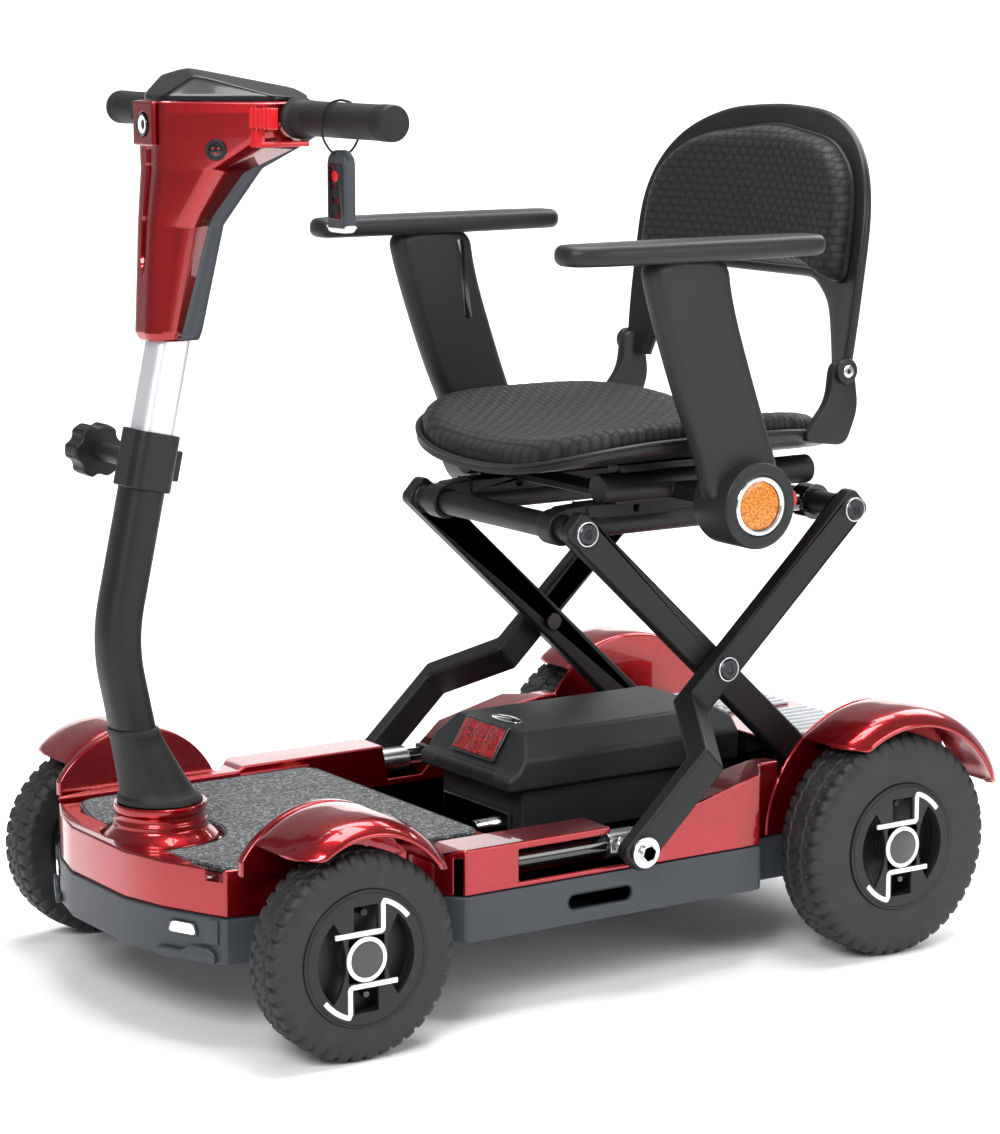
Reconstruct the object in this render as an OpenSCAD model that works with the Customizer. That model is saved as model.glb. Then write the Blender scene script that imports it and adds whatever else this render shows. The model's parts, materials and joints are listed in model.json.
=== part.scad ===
// Folding four-wheel mobility scooter, all sizes in millimetres.
// +Z up, the front faces -Y, the rider's left is +X. Origin: middle of the footprint, on the ground.

/* [Wheels] */
// Distance between the front and rear axles
wheelbase = 640; // [600:5:700]
// Diameter of a front tyre
front_tyre_d = 200; // [190:1:206]
// Width of a front tyre
front_tyre_w = 52; // [46:1:54]
// Diameter of a rear tyre
rear_tyre_d = 232; // [220:1:236]
// Width of a rear tyre
rear_tyre_w = 64; // [56:1:66]
// Sideways distance from the middle plane to a front wheel's middle
front_wheel_x = 261; // [259:1:268]
// Sideways distance from the middle plane to a rear wheel's middle
rear_wheel_x = 260; // [259:1:268]
// Diameter of the rim cover on every wheel
cover_d = 132; // [120:1:134]

/* [Chassis] */
// Half width of the body between the wheels
body_half_w = 238; // [236:1:239]
// Height of the underside of the lower pan
pan_bottom_z = 80; // [74:1:86]
// Height where the lower pan meets the red body
pan_top_z = 126; // [122:1:128]
// Height of the foot deck under the mat
deck_z = 162; // [158:1:164]
// Thickness of the moulded walls
wall = 3; // [2.5:0.5:4]
// Distance from the front axle forward to the bumper's face
front_overhang = 132; // [128:1:140]
// Distance from the rear axle back to the fender's tail
rear_overhang = 145; // [135:1:150]

/* [Folding frame] */
// Distance between the two end pivots of a scissor arm
arm_length = 444; // [436:1:450]
// Angle of the raised arms above level
arm_angle = 43; // [41:0.5:44]
// Angle that the lower pivots of the frame fold through
fold_angle = 27; // [20:0.5:27]
// Depth of a scissor arm
arm_depth = 34; // [28:1:36]
// Thickness of a scissor arm
arm_thick = 19; // [16:1:19]
// Height of the lower pivots
low_pivot_z = 148; // [145:1:150]
// Distance that the rear pivots lie behind the rear axle
low_pivot_back = 20; // [15:1:24]
// Radius of the pivot pins
pin_r = 6; // [5:0.5:7]
// Running clearance of pins and rods, on the radius
run_gap = 0.05; // [0.02:0.01:0.1]

/* [Tiller] */
// Outer size of the lower tiller tube
outer_tube = 42; // [40:0.5:44]
// Outer size of the sliding inner tube
inner_tube = 36; // [34:0.5:36]
// Sliding clearance between the two tubes, on each side
tube_gap = 0.1; // [0.05:0.01:0.1]
// Distance that the inner tube can drop
tiller_drop = 76; // [60:1:76]
// Distance that the inner tube can rise
tiller_rise = 40; // [20:1:40]
// Angle that the tiller folds back through
tiller_fold_angle = 35; // [10:1:35]
// Distance from the middle to the end of a handle grip
grip_reach = 270; // [260:1:280]
// Diameter of a handle grip
grip_d = 34; // [30:1:36]

/* [Seat] */
// Width of the seat cushion
seat_w = 380; // [360:1:384]
// Height of the underside of the seat shell
seat_z = 498; // [496:1:502]
// Width of the backrest
back_w = 392; // [380:1:396]
// Height of the backrest above its hinges
back_h = 274; // [250:1:280]
// Length of an armrest pad
armrest_len = 310; // [280:1:316]
// Height of the top of the armrest pads
armrest_z = 746; // [730:1:750]

/* [Hidden] */
$fn = 64;

front_axle_y = (front_overhang - rear_overhang - wheelbase) / 2;
rear_axle_y = front_axle_y + wheelbase;
steer_y = front_axle_y - 62;
kingpin_x = 208;
kingpin_r = 7;
stub_r = 8;
half_shaft_r = 10;
axle_tube_r = 16;
head_tube_z = 134;
steer_arm = 50;
cover_r = cover_d / 2;

// Scissor pivots, as [y, z]
rear_low = [rear_axle_y + low_pivot_back, low_pivot_z];
front_low = rear_low - [arm_length * cos(arm_angle), 0];
centre_pivot = (rear_low + front_low) / 2 + [0, arm_length / 2 * sin(arm_angle)];
front_top = front_low + [0, arm_length * sin(arm_angle)];
rear_top = rear_low + [0, arm_length * sin(arm_angle)];
inner_arm_x = 139;
arm_gap = 2;
outer_arm_x = inner_arm_x + arm_thick + arm_gap;
jog_x = body_half_w + 3;
cross_tube_r = 13;
rod_x = 216;
rod_r = 10;
slide_bar_x = 107;
slide_bar_r = 9;

// Tiller lines, as [y, z]: the lower part leans forward to the bend and the upper part back from it
bend = [front_axle_y - 108.5, 364];
bend_r = 150;
lower_lean = 11.5;
upper_lean = 12.5;
lower_len = 134;
fold_pivot = bend + lower_len * [sin(lower_lean), -cos(lower_lean)];
gaiter_top_z = 278;
collar_top = 206;
collar_len = 56;
head_start = 300;
knob_at = [-82, front_axle_y - 78, 538];

// Head, grips and levers
bar_y = front_axle_y + 46;
bar_z = 865;
bar_r = 11;

// Seat hinges
back_hinge = [rear_axle_y - 4, 598];
back_lean = 8;
armrest_pivot = [front_axle_y + 474, 480];
armrest_x = 206;
armrest_hub_r = 47;
seat_front_y = front_axle_y + 306;
seat_back_y = rear_axle_y + 20;

red = [0.62, 0.02, 0.05];
slate = [0.25, 0.27, 0.29];
black = [0.08, 0.08, 0.085];

// ---- shared shapes ----

// Both sides of whatever is drawn on the left
module both() { children(); mirror([1, 0, 0]) children(); }

// A bar of square section with rounded edges, rising along +Z from the origin
module round_bar(size, round, len) {
    linear_extrude(len) round_square(size, round);
}

module round_square(size, round) {
    inner = size / 2 - round;
    square([size, 2 * inner], center = true);
    square([2 * inner, size], center = true);
    for (sx = [-1, 1], sy = [-1, 1]) translate([sx * inner, sy * inner]) circle(round);
}

// A cylinder along +X from x0 to x1 through [y, z]
module x_rod(x0, x1, at, r) {
    translate([x0, at[0], at[1]]) rotate([0, 90, 0]) cylinder(h = x1 - x0, r = r);
}

// A flat shape drawn in (y, z), from x0 to x1
module side_plate(x0, x1) {
    translate([x0, 0, 0]) rotate([90, 0, 90]) linear_extrude(x1 - x0) children();
}

// A rectangle in (y, z)
module side_box(x0, x1, y0, y1, z0, z1) { translate([x0, y0, z0]) cube([x1 - x0, y1 - y0, z1 - z0]); }

// ---- wheels ----

function arc(cx, cy, r, a0, a1, steps) =
    [for (i = [0:steps]) let (a = a0 + (a1 - a0) * i / steps) [cx + r * cos(a), cy + r * sin(a)]];

// Tyre profile in (radius, x): flat tread, round shoulders, bulged sidewalls
module tyre_profile(d, w) {
    bead_r = cover_r - 6;
    shoulder = w * 0.3;
    bulge = (d / 2 + bead_r) / 2;
    half = [[bead_r, w * 0.34], [bead_r + 8, w * 0.46], [bulge, w / 2],
        each arc(d / 2 - shoulder - 1, w / 2 - shoulder, shoulder, 90, 12, 5), [d / 2, 0]];
    polygon([each half, for (i = [len(half) - 2:-1:0]) [half[i][0], -half[i][1]]]);
}

module wheel_place(x, y, d) { translate([x, y, d / 2]) rotate([0, 90, 0]) children(); }

module tyre(x, y, d, w) {
    color(black) wheel_place(x, y, d) rotate_extrude() tyre_profile(d, w);
}

// Rim with its barrel, web, hub, valve and windowed cover; the hub's bore runs on shaft_r
module rim(x, y, d, w, shaft_r, hub_in) {
    side = sign(x);
    barrel_r = cover_r - 6.2;
    face = w / 2 + 0.5;
    color(black) translate([x, y, d / 2]) rotate([0, 90 * side, 0]) difference() {
        union() {
            rotate_extrude() polygon([[barrel_r - 4, -w * 0.34], [barrel_r, -w * 0.34],
                [barrel_r, w * 0.34], [barrel_r - 4, w * 0.34]]);
            translate([0, 0, 2]) cylinder(h = 6, r = barrel_r - 2);
            translate([0, 0, -hub_in]) cylinder(h = hub_in + 12, r = 20);
            rotate_extrude() polygon([[barrel_r - 8, w * 0.34 - 4], [barrel_r - 4, w * 0.34 - 4],
                [barrel_r - 0.2, w * 0.34 + 0.3], [cover_r, w * 0.43 + 0.5], [cover_r, face - 2], [cover_r - 6, face - 1], [barrel_r - 8, face - 5]]);
            wheel_cover(face);
            translate([-44, 0, 6]) cylinder(h = 16, r = 3.5);
        }
        translate([0, 0, -hub_in - 1]) cylinder(h = hub_in + 20.5, r = shaft_r);
    }
}

// Cover face: an upright plate between two lens-shaped windows, with a window above and below the middle
module wheel_cover(face) {
    translate([0, 0, face - 5]) linear_extrude(4) difference() {
        circle(cover_r - 3);
        for (s = [-1, 1]) {
            intersection() {
                translate([0, s * (cover_r + 22)]) circle(cover_r);
                circle(cover_r - 14);
            }
            translate([s * 38, 0]) square([26, 26], center = true);
        }
    }
    translate([0, 0, face - 5]) cylinder(h = 5, r = 20);
    translate([0, 0, 8]) cylinder(h = face - 12, r = 14);
}

// ---- body and chassis ----

// Half outline of the body seen from above, from the front axle, with the side pulled in by inset
function body_half(inset) = [
    [57 - inset * 0.3, -front_overhang + inset], [110, -118 + inset], [177 - inset, -88 + inset],
    [188 - inset, -40], [190 - inset, 104 + inset], [222 - inset, 126 + inset], [body_half_w - inset, 142 + inset],
    [body_half_w - inset, wheelbase - 142 - inset], [212 - inset, wheelbase - 124 - inset],
    [212 - inset, wheelbase + 84], [170 - inset, wheelbase + 110 - inset]];

module body_outline(inset = 0) {
    half = body_half(inset);
    polygon([each half, for (i = [len(half) - 1:-1:0]) [-half[i][0], half[i][1]]]);
}

module at_front_axle() { translate([0, front_axle_y, 0]) children(); }
module at_rear_axle() { translate([0, rear_axle_y, 0]) children(); }

// The cut that lets the steering arms and stub axles through the sides
module axle_cut() {
    at_front_axle() both() translate([150, -32, front_tyre_d / 2 - 30]) cube([60, 112, 68]);
    at_rear_axle() both() translate([150, -30, rear_tyre_d / 2 - 30]) cube([80, 60, 60]);
}

module body_pan() {
    color(slate) difference() {
        at_front_axle() translate([0, 0, pan_bottom_z]) linear_extrude(pan_top_z - pan_bottom_z) body_outline();
        at_front_axle() translate([0, 0, pan_bottom_z + wall]) linear_extrude(pan_top_z) body_outline(wall);
        axle_cut();
        // bumper notches beside the middle and the long grip slots in the sides
        at_front_axle() both() translate([84, -front_overhang - 6, pan_bottom_z - 1])
            rotate([0, 0, 14]) cube([34, 9, 30]);
        at_front_axle() both() hull() for (y = [268, 330])
            translate([body_half_w - 8, y, pan_bottom_z + 22]) rotate([0, 90, 0]) cylinder(h = 12, r = 7, $fn = 32);
    }
}

// Side outline of the sill's top, in (y, z) from the front axle: high, dipped behind the slot, high again
module sill_profile() {
    polygon([[120, pan_top_z + 0.3], [120, 164], [140, 172], [front_low[0] - front_axle_y - 24, 172],
        [front_low[0] - front_axle_y - 24, 166 + 3], [front_low[0] - front_axle_y - 18, low_pivot_z - 14],
        [front_low[0] - front_axle_y + 24, low_pivot_z - 14], [front_low[0] - front_axle_y + 76, 180],
        [wheelbase - 146, 200], [wheelbase - 120, 204], [wheelbase - 100, 204], [wheelbase - 100, pan_top_z + 0.3]]);
}

module deck_shell() {
    nose_top = deck_z + 10;
    color(red) difference() {
        union() {
            // nose band and tray around the foot deck
            at_front_axle() difference() {
                translate([0, 0, pan_top_z + 0.3]) linear_extrude(nose_top - pan_top_z - 0.3) body_outline(1);
                translate([0, 0, pan_top_z]) linear_extrude(deck_z - wall - pan_top_z) body_outline(1 + wall);
                translate([-172, -96, deck_z]) cube([344, 320, 60]);
                translate([-300, 124, pan_top_z - 1]) cube([600, wheelbase, 80]);
            }
            // box sills with the slots for the guide rods
            at_front_axle() both() difference() {
                intersection() {
                    side_plate(rod_x - 26, body_half_w - 0.5) sill_profile();
                    translate([0, 0, pan_top_z]) linear_extrude(100) body_outline(0.5);
                }
                translate([rod_x - 22, 134, pan_top_z - 1]) cube([40, wheelbase - 290, 37.5]);
                translate([body_half_w - 10, 203, low_pivot_z - 16]) cube([20, 160, 32]);
            }
            // deck floor behind the foot well, and its ramp down to the battery tray
            at_front_axle() difference() {
                translate([-rod_x + 24, 120, deck_z - wall]) cube([2 * rod_x - 48, 96, wall]);
                translate([0, -62, 0]) cylinder(h = 300, r = 24);
            }
            at_front_axle() translate([-rod_x + 24, 213, pan_top_z + 0.3])
                cube([2 * rod_x - 48, wall, deck_z - pan_top_z - 0.3]);
            // rear housing over the drive unit, between the two arm pockets
            at_rear_axle() difference() {
                translate([-126, -36, pan_top_z + 0.3]) cube([252, 143, 74]);
                translate([-123, -37, pan_top_z - 1]) cube([246, 141, 72]);
            }
            // tail band between the two fenders
            at_front_axle() difference() {
                translate([0, 0, pan_top_z + 0.3]) linear_extrude(40) body_outline(1);
                translate([0, 0, pan_top_z]) linear_extrude(60) body_outline(4);
                translate([-300, -200, 0]) cube([600, wheelbase + 220, 300]);
            }
            // inner fender flanges
            at_rear_axle() both() difference() {
                side_plate(208, 212) intersection() {
                    translate(rear_arch) circle(rear_flange_r);
                    translate([-118, pan_top_z + 0.3]) square([240, 200]);
                }
                translate([200, -50, 80]) cube([20, 100, 66]);
            }
            at_front_axle() both() side_plate(186, 196) intersection() {
                translate(front_arch) circle(front_flange_r);
                translate([-80, nose_top - 4]) square([190, 100]);
            }
        }
        axle_cut();
        at_front_axle() translate([0, -62, 0]) cylinder(h = 300, r = 24);
        at_front_axle() translate([0, -62, deck_z]) cylinder(h = 60, r = 58.3);
        x_rod(-200, 200, [rear_axle_y, rear_tyre_d / 2], axle_tube_r + 0.5);
    }
}

// Fender arches: centre in (y from the axle, z) and outer radius
front_arch = [6.5, 127.7];
front_arch_r = 104;
rear_arch = [16.8, 124.8];
rear_arch_r = 133;
front_flange_r = front_arch_r - 1;
rear_flange_r = rear_arch_r - 2;

module deck_mat() {
    mat_z = 6;
    color([0.16, 0.16, 0.17]) at_front_axle() translate([0, 0, deck_z + 0.3]) linear_extrude(mat_z) difference() {
        polygon([[-92, -92], [92, -92], [168, -70], [168, 208], [-168, 208], [-168, -70]]);
        translate([-64, -100]) square([128, 40]);
        translate([0, -62]) circle(64);
    }
}

module front_lamps() {
    face_angle = atan2(30, 67);
    color("white") at_front_axle() both() translate([110, -118, pan_top_z - 22]) rotate([0, 0, face_angle])
        translate([6, -3.4, 0]) cube([36, 3.2, 14]);
}

// Flared collar that the gaiter stands on
module turret_collar() {
    color(red) translate([0, steer_y, 0]) rotate_extrude() polygon([[24.3, deck_z], [58, deck_z],
        [58, deck_z + 5], [49, deck_z + 14], [45, deck_z + 28], [45.5, deck_z + 40], [39, deck_z + 40],
        [39, deck_z + 3], [24.3, deck_z + 3]]);
}

// A crowned fender arch: its centre and outer radius in (y, z), and the angles it covers, from level behind
module fender(x0, x1, centre, r, from, to) {
    translate([x0, centre[0], centre[1]]) rotate([90, 0, 90])
        rotate_extrude(start = from, angle = to - from) polygon([[r - 6, 0], [r - 3, 0], [r, 14],
            [r, x1 - x0 - 20], [r - 4, x1 - x0 - 8], [r - 16, x1 - x0], [r - 18, x1 - x0 - 3],
            [r - 7, x1 - x0 - 10], [r - 3, x1 - x0 - 20], [r - 3, 16], [r - 6, 3]]);
}

module front_fenders() {
    color(red) both() fender(196.3, 290, [front_axle_y + front_arch[0], front_arch[1]], front_arch_r, 22, 136);
}

module rear_fenders() {
    color(red) both() fender(212.3, 292.5, [rear_axle_y + rear_arch[0], rear_arch[1]], rear_arch_r,
        acos((rear_overhang - rear_arch[0]) / rear_arch_r), 131);
}

module chassis_frame() {
    color(black) difference() {
        union() {
            both() translate([92, front_axle_y - 70, 88]) cube([26, wheelbase + 140, 28]);
            for (y = [front_axle_y - 84, front_axle_y + 200, rear_axle_y - 80])
                translate([-92, y, 90]) cube([184, 24, 24]);
            translate([-190, front_axle_y - 14, 88]) cube([380, 28, 24]);
            both() translate([kingpin_x, front_axle_y, 86]) cylinder(h = 30, r = 14);
            both() translate([180, front_axle_y - 10, 90]) cube([20, 20, 22]);
            translate([0, steer_y, head_tube_z]) cylinder(h = 20, r = 22);
            translate([-22, steer_y - 28, 90]) cube([44, 10, head_tube_z - 70]);
            // feet that stand on the pan
            for (y = [front_axle_y - 72, front_axle_y + 212, rear_axle_y - 68]) both()
                translate([60, y, pan_bottom_z + wall]) cylinder(h = 10, r = 8);
            // upright plates that hold the rear scissor pins and the guide rods
            both() for (x = [inner_arm_x - 7, inner_arm_x + arm_thick + 1])
                side_box(x, x + 6, rear_low[0] - 16, rear_low[0] + 16, 88, low_pivot_z + 14);
            both() translate([92, rear_low[0] - 12, 84]) cube([80, 24, 8]);
            both() for (y = [front_axle_y + 186, front_low[0] + 40]) {
                side_box(rod_x - 12, rod_x + 12, y, y + 8, 84, low_pivot_z + 12);
                translate([110, y, 84]) cube([rod_x - 100, 8, 8]);
            }
        }
        both() translate([kingpin_x, front_axle_y, 80]) cylinder(h = 60, r = kingpin_r + run_gap);
        translate([0, steer_y, 80]) cylinder(h = 100, r = 15 + run_gap);
        x_rod(-200, 200, [rear_axle_y, rear_tyre_d / 2], axle_tube_r + 0.3);
        both() translate([rod_x, front_axle_y + 180, low_pivot_z]) rotate([-90, 0, 0])
            cylinder(h = 300, r = rod_r);
    }
    // pins that the inner arms turn on
    color("silver") both() x_rod(inner_arm_x - 4, inner_arm_x + arm_thick + 4, rear_low, pin_r);
}

module guide_rods() {
    y0 = front_axle_y + 186;
    color([0.05, 0.05, 0.05]) both() translate([rod_x, y0, low_pivot_z]) rotate([-90, 0, 0])
        cylinder(h = front_low[0] + 48 - y0, r = rod_r);
}

// Motor, gearbox and axle tube of the rear drive
module drive_unit() {
    color(black) difference() {
        union() {
            x_rod(-196, 196, [rear_axle_y, rear_tyre_d / 2], axle_tube_r);
            x_rod(-34, 22, [rear_axle_y, rear_tyre_d / 2 + 2], 34);
            translate([-60, rear_axle_y + 30, rear_tyre_d / 2 + 8]) rotate([0, 90, 0]) cylinder(h = 130, r = 30);
            both() side_box(94, 116, rear_axle_y - 14, rear_axle_y + 14, 116.3, rear_tyre_d / 2 + 10);
        }
        x_rod(-200, 200, [rear_axle_y, rear_tyre_d / 2], half_shaft_r + run_gap);
    }
}

module step_pads() {
    rib = 6;
    color([0.72, 0.73, 0.75]) at_rear_axle() both() {
        translate([14, 4, 200.5]) cube([104, 88, 3]);
        for (i = [0:6]) translate([18 + i * 14, 8, 203.5]) cube([rib, 80, 2.5]);
    }
}

module controller_box() {
    color("dimgray") translate([-70, rear_axle_y - 30, 176]) cube([140, 56, 20.7]);
}

// ---- battery ----

battery_front = front_axle_y + 292;
battery_back = front_axle_y + 586;
battery_half = 86;
battery_top = 232;

module battery_case() {
    color([0.15, 0.155, 0.165]) difference() {
        union() {
            // upper case with sloped shoulders and nose
            intersection() {
                translate([0, battery_back, 0]) rotate([90, 0, 0]) linear_extrude(battery_back - battery_front)
                    polygon([[-battery_half, 176], [battery_half, 176], [battery_half, 208],
                        [battery_half - 22, battery_top], [22 - battery_half, battery_top], [-battery_half, 208]]);
                side_plate(-battery_half, battery_half) polygon([[battery_front, 176], [battery_back, 176],
                    [battery_back, battery_top - 10], [battery_back - 16, battery_top], [battery_front + 34, battery_top],
                    [battery_front + 12, 196], [battery_front, 190]]);
            }
            // narrower lower case
            translate([10 - battery_half, battery_front + 22, 119.6])
                cube([2 * battery_half - 20, battery_back - battery_front - 26, 60]);
        }
        // finger pocket behind the moulded carry lip, open below
        translate([-46, battery_front + 10, 150]) cube([92, 12, 44]);
    }
}

module battery_reflector() {
    slope = atan2(36, 22);
    color([0.75, 0.05, 0.03]) translate([-38, battery_front + 13, 198.5]) rotate([slope, 0, 0])
        translate([0, 0, 0.2]) cube([76, 36, 3]);
}

module battery_latch() {
    color("silver") {
        at_front_axle() translate([-60, 306, pan_bottom_z + wall]) cube([120, 6, 66]);
        at_front_axle() translate([20, 292, 128]) rotate([-90, 0, 0]) cylinder(h = 15, r = 7);
        at_front_axle() translate([-20, 294, 116]) rotate([-90, 0, 0]) cylinder(h = 13, r = 10);
        translate([-90, battery_front + 18, 116.3]) cube([180, 266, 3]);
    }
}

// ---- steering ----

arm_z = front_tyre_d / 2 + 16.3;

module steering_column() {
    color(black) difference() {
        union() {
            translate([0, steer_y, arm_z]) cylinder(h = 194 - arm_z, r = 15);
            translate([0, steer_y, head_tube_z + 20.3]) cylinder(h = 6, r = 22);
            translate([0, steer_y, deck_z + 28]) cylinder(h = 12, r = 37);
            both() side_plate(outer_tube / 2 + 0.4, outer_tube / 2 + 4.4) polygon([
                [fold_pivot[0] - 6, deck_z + 34], [fold_pivot[0] + 22, deck_z + 34],
                [fold_pivot[0] + 10, fold_pivot[1] + 11], [fold_pivot[0] - 10, fold_pivot[1] + 11],
                [fold_pivot[0] - 10, deck_z + 48]]);
            // drop arm that moves the tie rod
            translate([-9, steer_y, arm_z]) cube([18, steer_arm, 6]);
            translate([0, steer_y + steer_arm, arm_z]) cylinder(h = 6, r = 9);
            translate([0, steer_y + steer_arm, arm_z]) cylinder(h = 17, r = 4);
        }
        x_rod(-40, 40, fold_pivot, pin_r + run_gap);
    }
}

// Rubber gaiter over the tiller's folding hinge
module gaiter_form(inset) {
    hull() {
        translate([0, steer_y, deck_z + 40.3 - inset]) cylinder(h = 1, r = 43 - inset, $fn = 32);
        translate([0, bend[0] + (bend[1] - gaiter_top_z) * tan(lower_lean), gaiter_top_z - 1 + inset])
            linear_extrude(1) round_square(outer_tube + 6 - 2 * inset, 14 - inset);
    }
}

module gaiter() {
    color(black) difference() {
        gaiter_form(0);
        gaiter_form(2);
    }
}

// From the tiller's bend, with +Z up along its upper part
module along_upper() { translate([0, bend[0], bend[1]]) rotate([-upper_lean, 0, 0]) children(); }
module along_lower() { translate([0, bend[0], bend[1]]) rotate([180 + lower_lean, 0, 0]) children(); }

module tiller_tube() {
    turn = lower_lean + upper_lean;
    tangent = bend_r * tan(turn / 2);
    color(black) difference() {
        union() {
            along_upper() translate([0, 0, tangent]) round_bar(outer_tube, 12, collar_top - tangent - 4);
            along_lower() translate([0, 0, tangent]) round_bar(outer_tube, 12, lower_len - tangent + 8);
            tiller_bend(turn, tangent);
            x_rod(-outer_tube / 2 - 8, outer_tube / 2 + 8, fold_pivot, pin_r);
        }
        along_upper() translate([0, 0, tangent + 4]) round_bar(inner_tube + 2 * tube_gap, 9 + tube_gap, 400);
    }
}

// The bend, turned about an axis behind the tube
module tiller_bend(turn, tangent) {
    along_upper() translate([0, bend_r, tangent]) rotate([90, 0, 90])
        rotate_extrude(start = 179, angle = turn + 2) translate([bend_r, 0]) round_square(outer_tube + 0.8, 12.4);
}

module clamp_collar() {
    color(black) difference() {
        union() {
            along_upper() translate([0, 0, collar_top - collar_len]) round_bar(48, 13, collar_len);
            x_rod(knob_at[0] + 0.3, -18, [knob_at[1], knob_at[2]], 9);
            along_upper() translate([-8, 22, collar_top - 44]) cube([16, 12, 30]);
        }
        along_upper() translate([0, 0, collar_top - collar_len - 1])
            round_bar(outer_tube + 0.1, 12, collar_len - 3);
        along_upper() round_bar(inner_tube + 2 * tube_gap, 9 + tube_gap, 400);
        x_rod(-100, -inner_tube / 2 - 1, [knob_at[1], knob_at[2]], 5 + run_gap);
    }
}

module clamp_knob() {
    color(black) {
        translate(knob_at) rotate([0, -90, 0]) linear_extrude(26) difference() {
            circle(27);
            for (i = [0:5]) rotate(i * 60) translate([33, 0]) circle(10);
        }
        x_rod(knob_at[0] - 10, -outer_tube / 2 - 4, [knob_at[1], knob_at[2]], 5);
    }
}

// ---- head ----

module inner_tube() {
    color([0.8, 0.82, 0.84]) along_upper() difference() {
        translate([0, 0, collar_top - 84]) round_bar(inner_tube, 9, head_start + 204 - collar_top + 84);
        translate([0, 0, collar_top - 85]) round_bar(inner_tube - 5, 7, 400);
    }
}

// A level slice of the head's outline at height z: half widths at the nose, the shoulder and the back
module head_slice(z, nose, nose_y, side, side_y, back_y, inset) {
    translate([0, front_axle_y, z]) linear_extrude(0.5) polygon([
        [inset - nose, nose_y + inset], [nose - inset, nose_y + inset], [side - inset, side_y],
        [side - inset, back_y - inset], [inset - side, back_y - inset], [inset - side, side_y]]);
}

module head_form(inset) {
    foot = 653 - inset;
    hull() {
        head_slice(foot, 14, -74, 27, -62, -18, inset);
        head_slice(762, 17, -68, 32, -46, 4, inset);
    }
    hull() {
        head_slice(762, 17, -68, 32, -46, 4, inset);
        head_slice(816, 20, -62, 52, -26, 36, inset);
    }
    hull() {
        head_slice(816, 20, -62, 52, -26, 36, inset);
        head_slice(846, 22, -62, 82, 8, 78, inset);
        head_slice(880 - inset, 22, -62, 92, 18, 72, inset);
    }
}

// Band of the head behind the parting line, in (y, z) from the front axle
module rear_band() {
    at_front_axle() side_plate(-120, 120) polygon([[-44, 640], [-44, 660], [-14, 770], [12, 812], [58, 836],
        [58, 862], [140, 862], [140, 640]]);
}

module head_cowl() {
    color(red) difference() {
        head_form(0);
        head_form(3);
        rear_band();
        head_openings();
    }
}

module head_rear_cover() {
    color(slate) difference() {
        intersection() {
            difference() { head_form(0); head_form(3); }
            translate([0, 0.3, 0]) rear_band();
        }
        head_openings();
    }
}

// Holes for the handlebar, the lever feet and the socket
module head_openings() {
    x_rod(-120, 120, [bar_y, bar_z], bar_r + 1);
    both() side_box(lever_x + 8, 110, bar_y - 12, bar_y + 20, lever_z - 2, lever_z + 7);
    socket_pose() translate([0, 0, -20]) cylinder(h = 40, r = 11.05);
}

module socket_pose() { translate([56, front_axle_y - 2, 833]) rotate([0, 62, -30]) children(); }

module dash_visor() {
    color(black) hull() {
        head_slice(880.8, 21, -56, 88, 22, 72, 0);
        head_slice(911, 26, -12, 40, 4, 26, 0);
    }
}

module nose_panel() {
    color(red) at_front_axle() difference() {
        translate([-20, -68, 838]) cube([40, 5.4, 42]);
        translate([0, -60, 858]) rotate([90, 0, 0]) cylinder(h = 20, r = 11.3);
    }
}

module headlight() {
    color("white") at_front_axle() translate([0, -62.8, 858]) rotate([90, 0, 0]) rotate_extrude()
        polygon([[0, 0], [11, 0], [11, 7], [7, 7], [7, 5], [0, 5]]);
}

module key_socket() {
    color(black) socket_pose() difference() {
        translate([0, 0, -9]) cylinder(h = 13, r = 11);
        cylinder(h = 20, r = 8.5);
    }
}

module handlebar() {
    color([0.2, 0.2, 0.2]) {
        x_rod(4 - grip_reach, grip_reach - 4, [bar_y, bar_z], bar_r);
        // cap on the inner tube, its web to the bar and the posts that carry the shell
        along_upper() translate([-22, -22, head_start + 204.2]) cube([44, 44, 8]);
        side_plate(-20, 20) polygon([[bar_y - 50, bar_z - 8], [bar_y - 26, bar_z - 12], [bar_y, bar_z - 8],
            [bar_y, bar_z + 8], [bar_y - 50, bar_z]]);
        both() translate([14, bar_y - 44, bar_z - 6]) cylinder(h = 880 - 3 - bar_z + 6.2, r = 6);
        // spindles of the two finger levers
        both() translate([lever_x, bar_y, lever_z - 5]) cylinder(h = bar_z - lever_z, r = 4);
        both() translate([lever_x, bar_y, lever_z - 5]) cylinder(h = 4, r = 6);
    }
}

module grip(side) {
    start = 97;
    color(black) mirror([side < 0 ? 1 : 0, 0, 0]) translate([start, bar_y, bar_z]) rotate([0, 90, 0])
        rotate_extrude() polygon([[bar_r + 0.05, 0], [grip_d / 2 + 3, 0], [grip_d / 2 + 3, 6],
            [grip_d / 2, 8], [grip_d / 2 - 0.5, grip_reach - start - 12], [grip_d / 2 - 3, grip_reach - start],
            [0, grip_reach - start], [0, grip_reach - start - 3.8], [bar_r + 0.05, grip_reach - start - 3.8]]);
}

// Finger lever: a boss on its spindle inside the head, a foot under the grip and a pad ahead of the grip
lever_x = 58;
lever_z = bar_z - 26.5;

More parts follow.
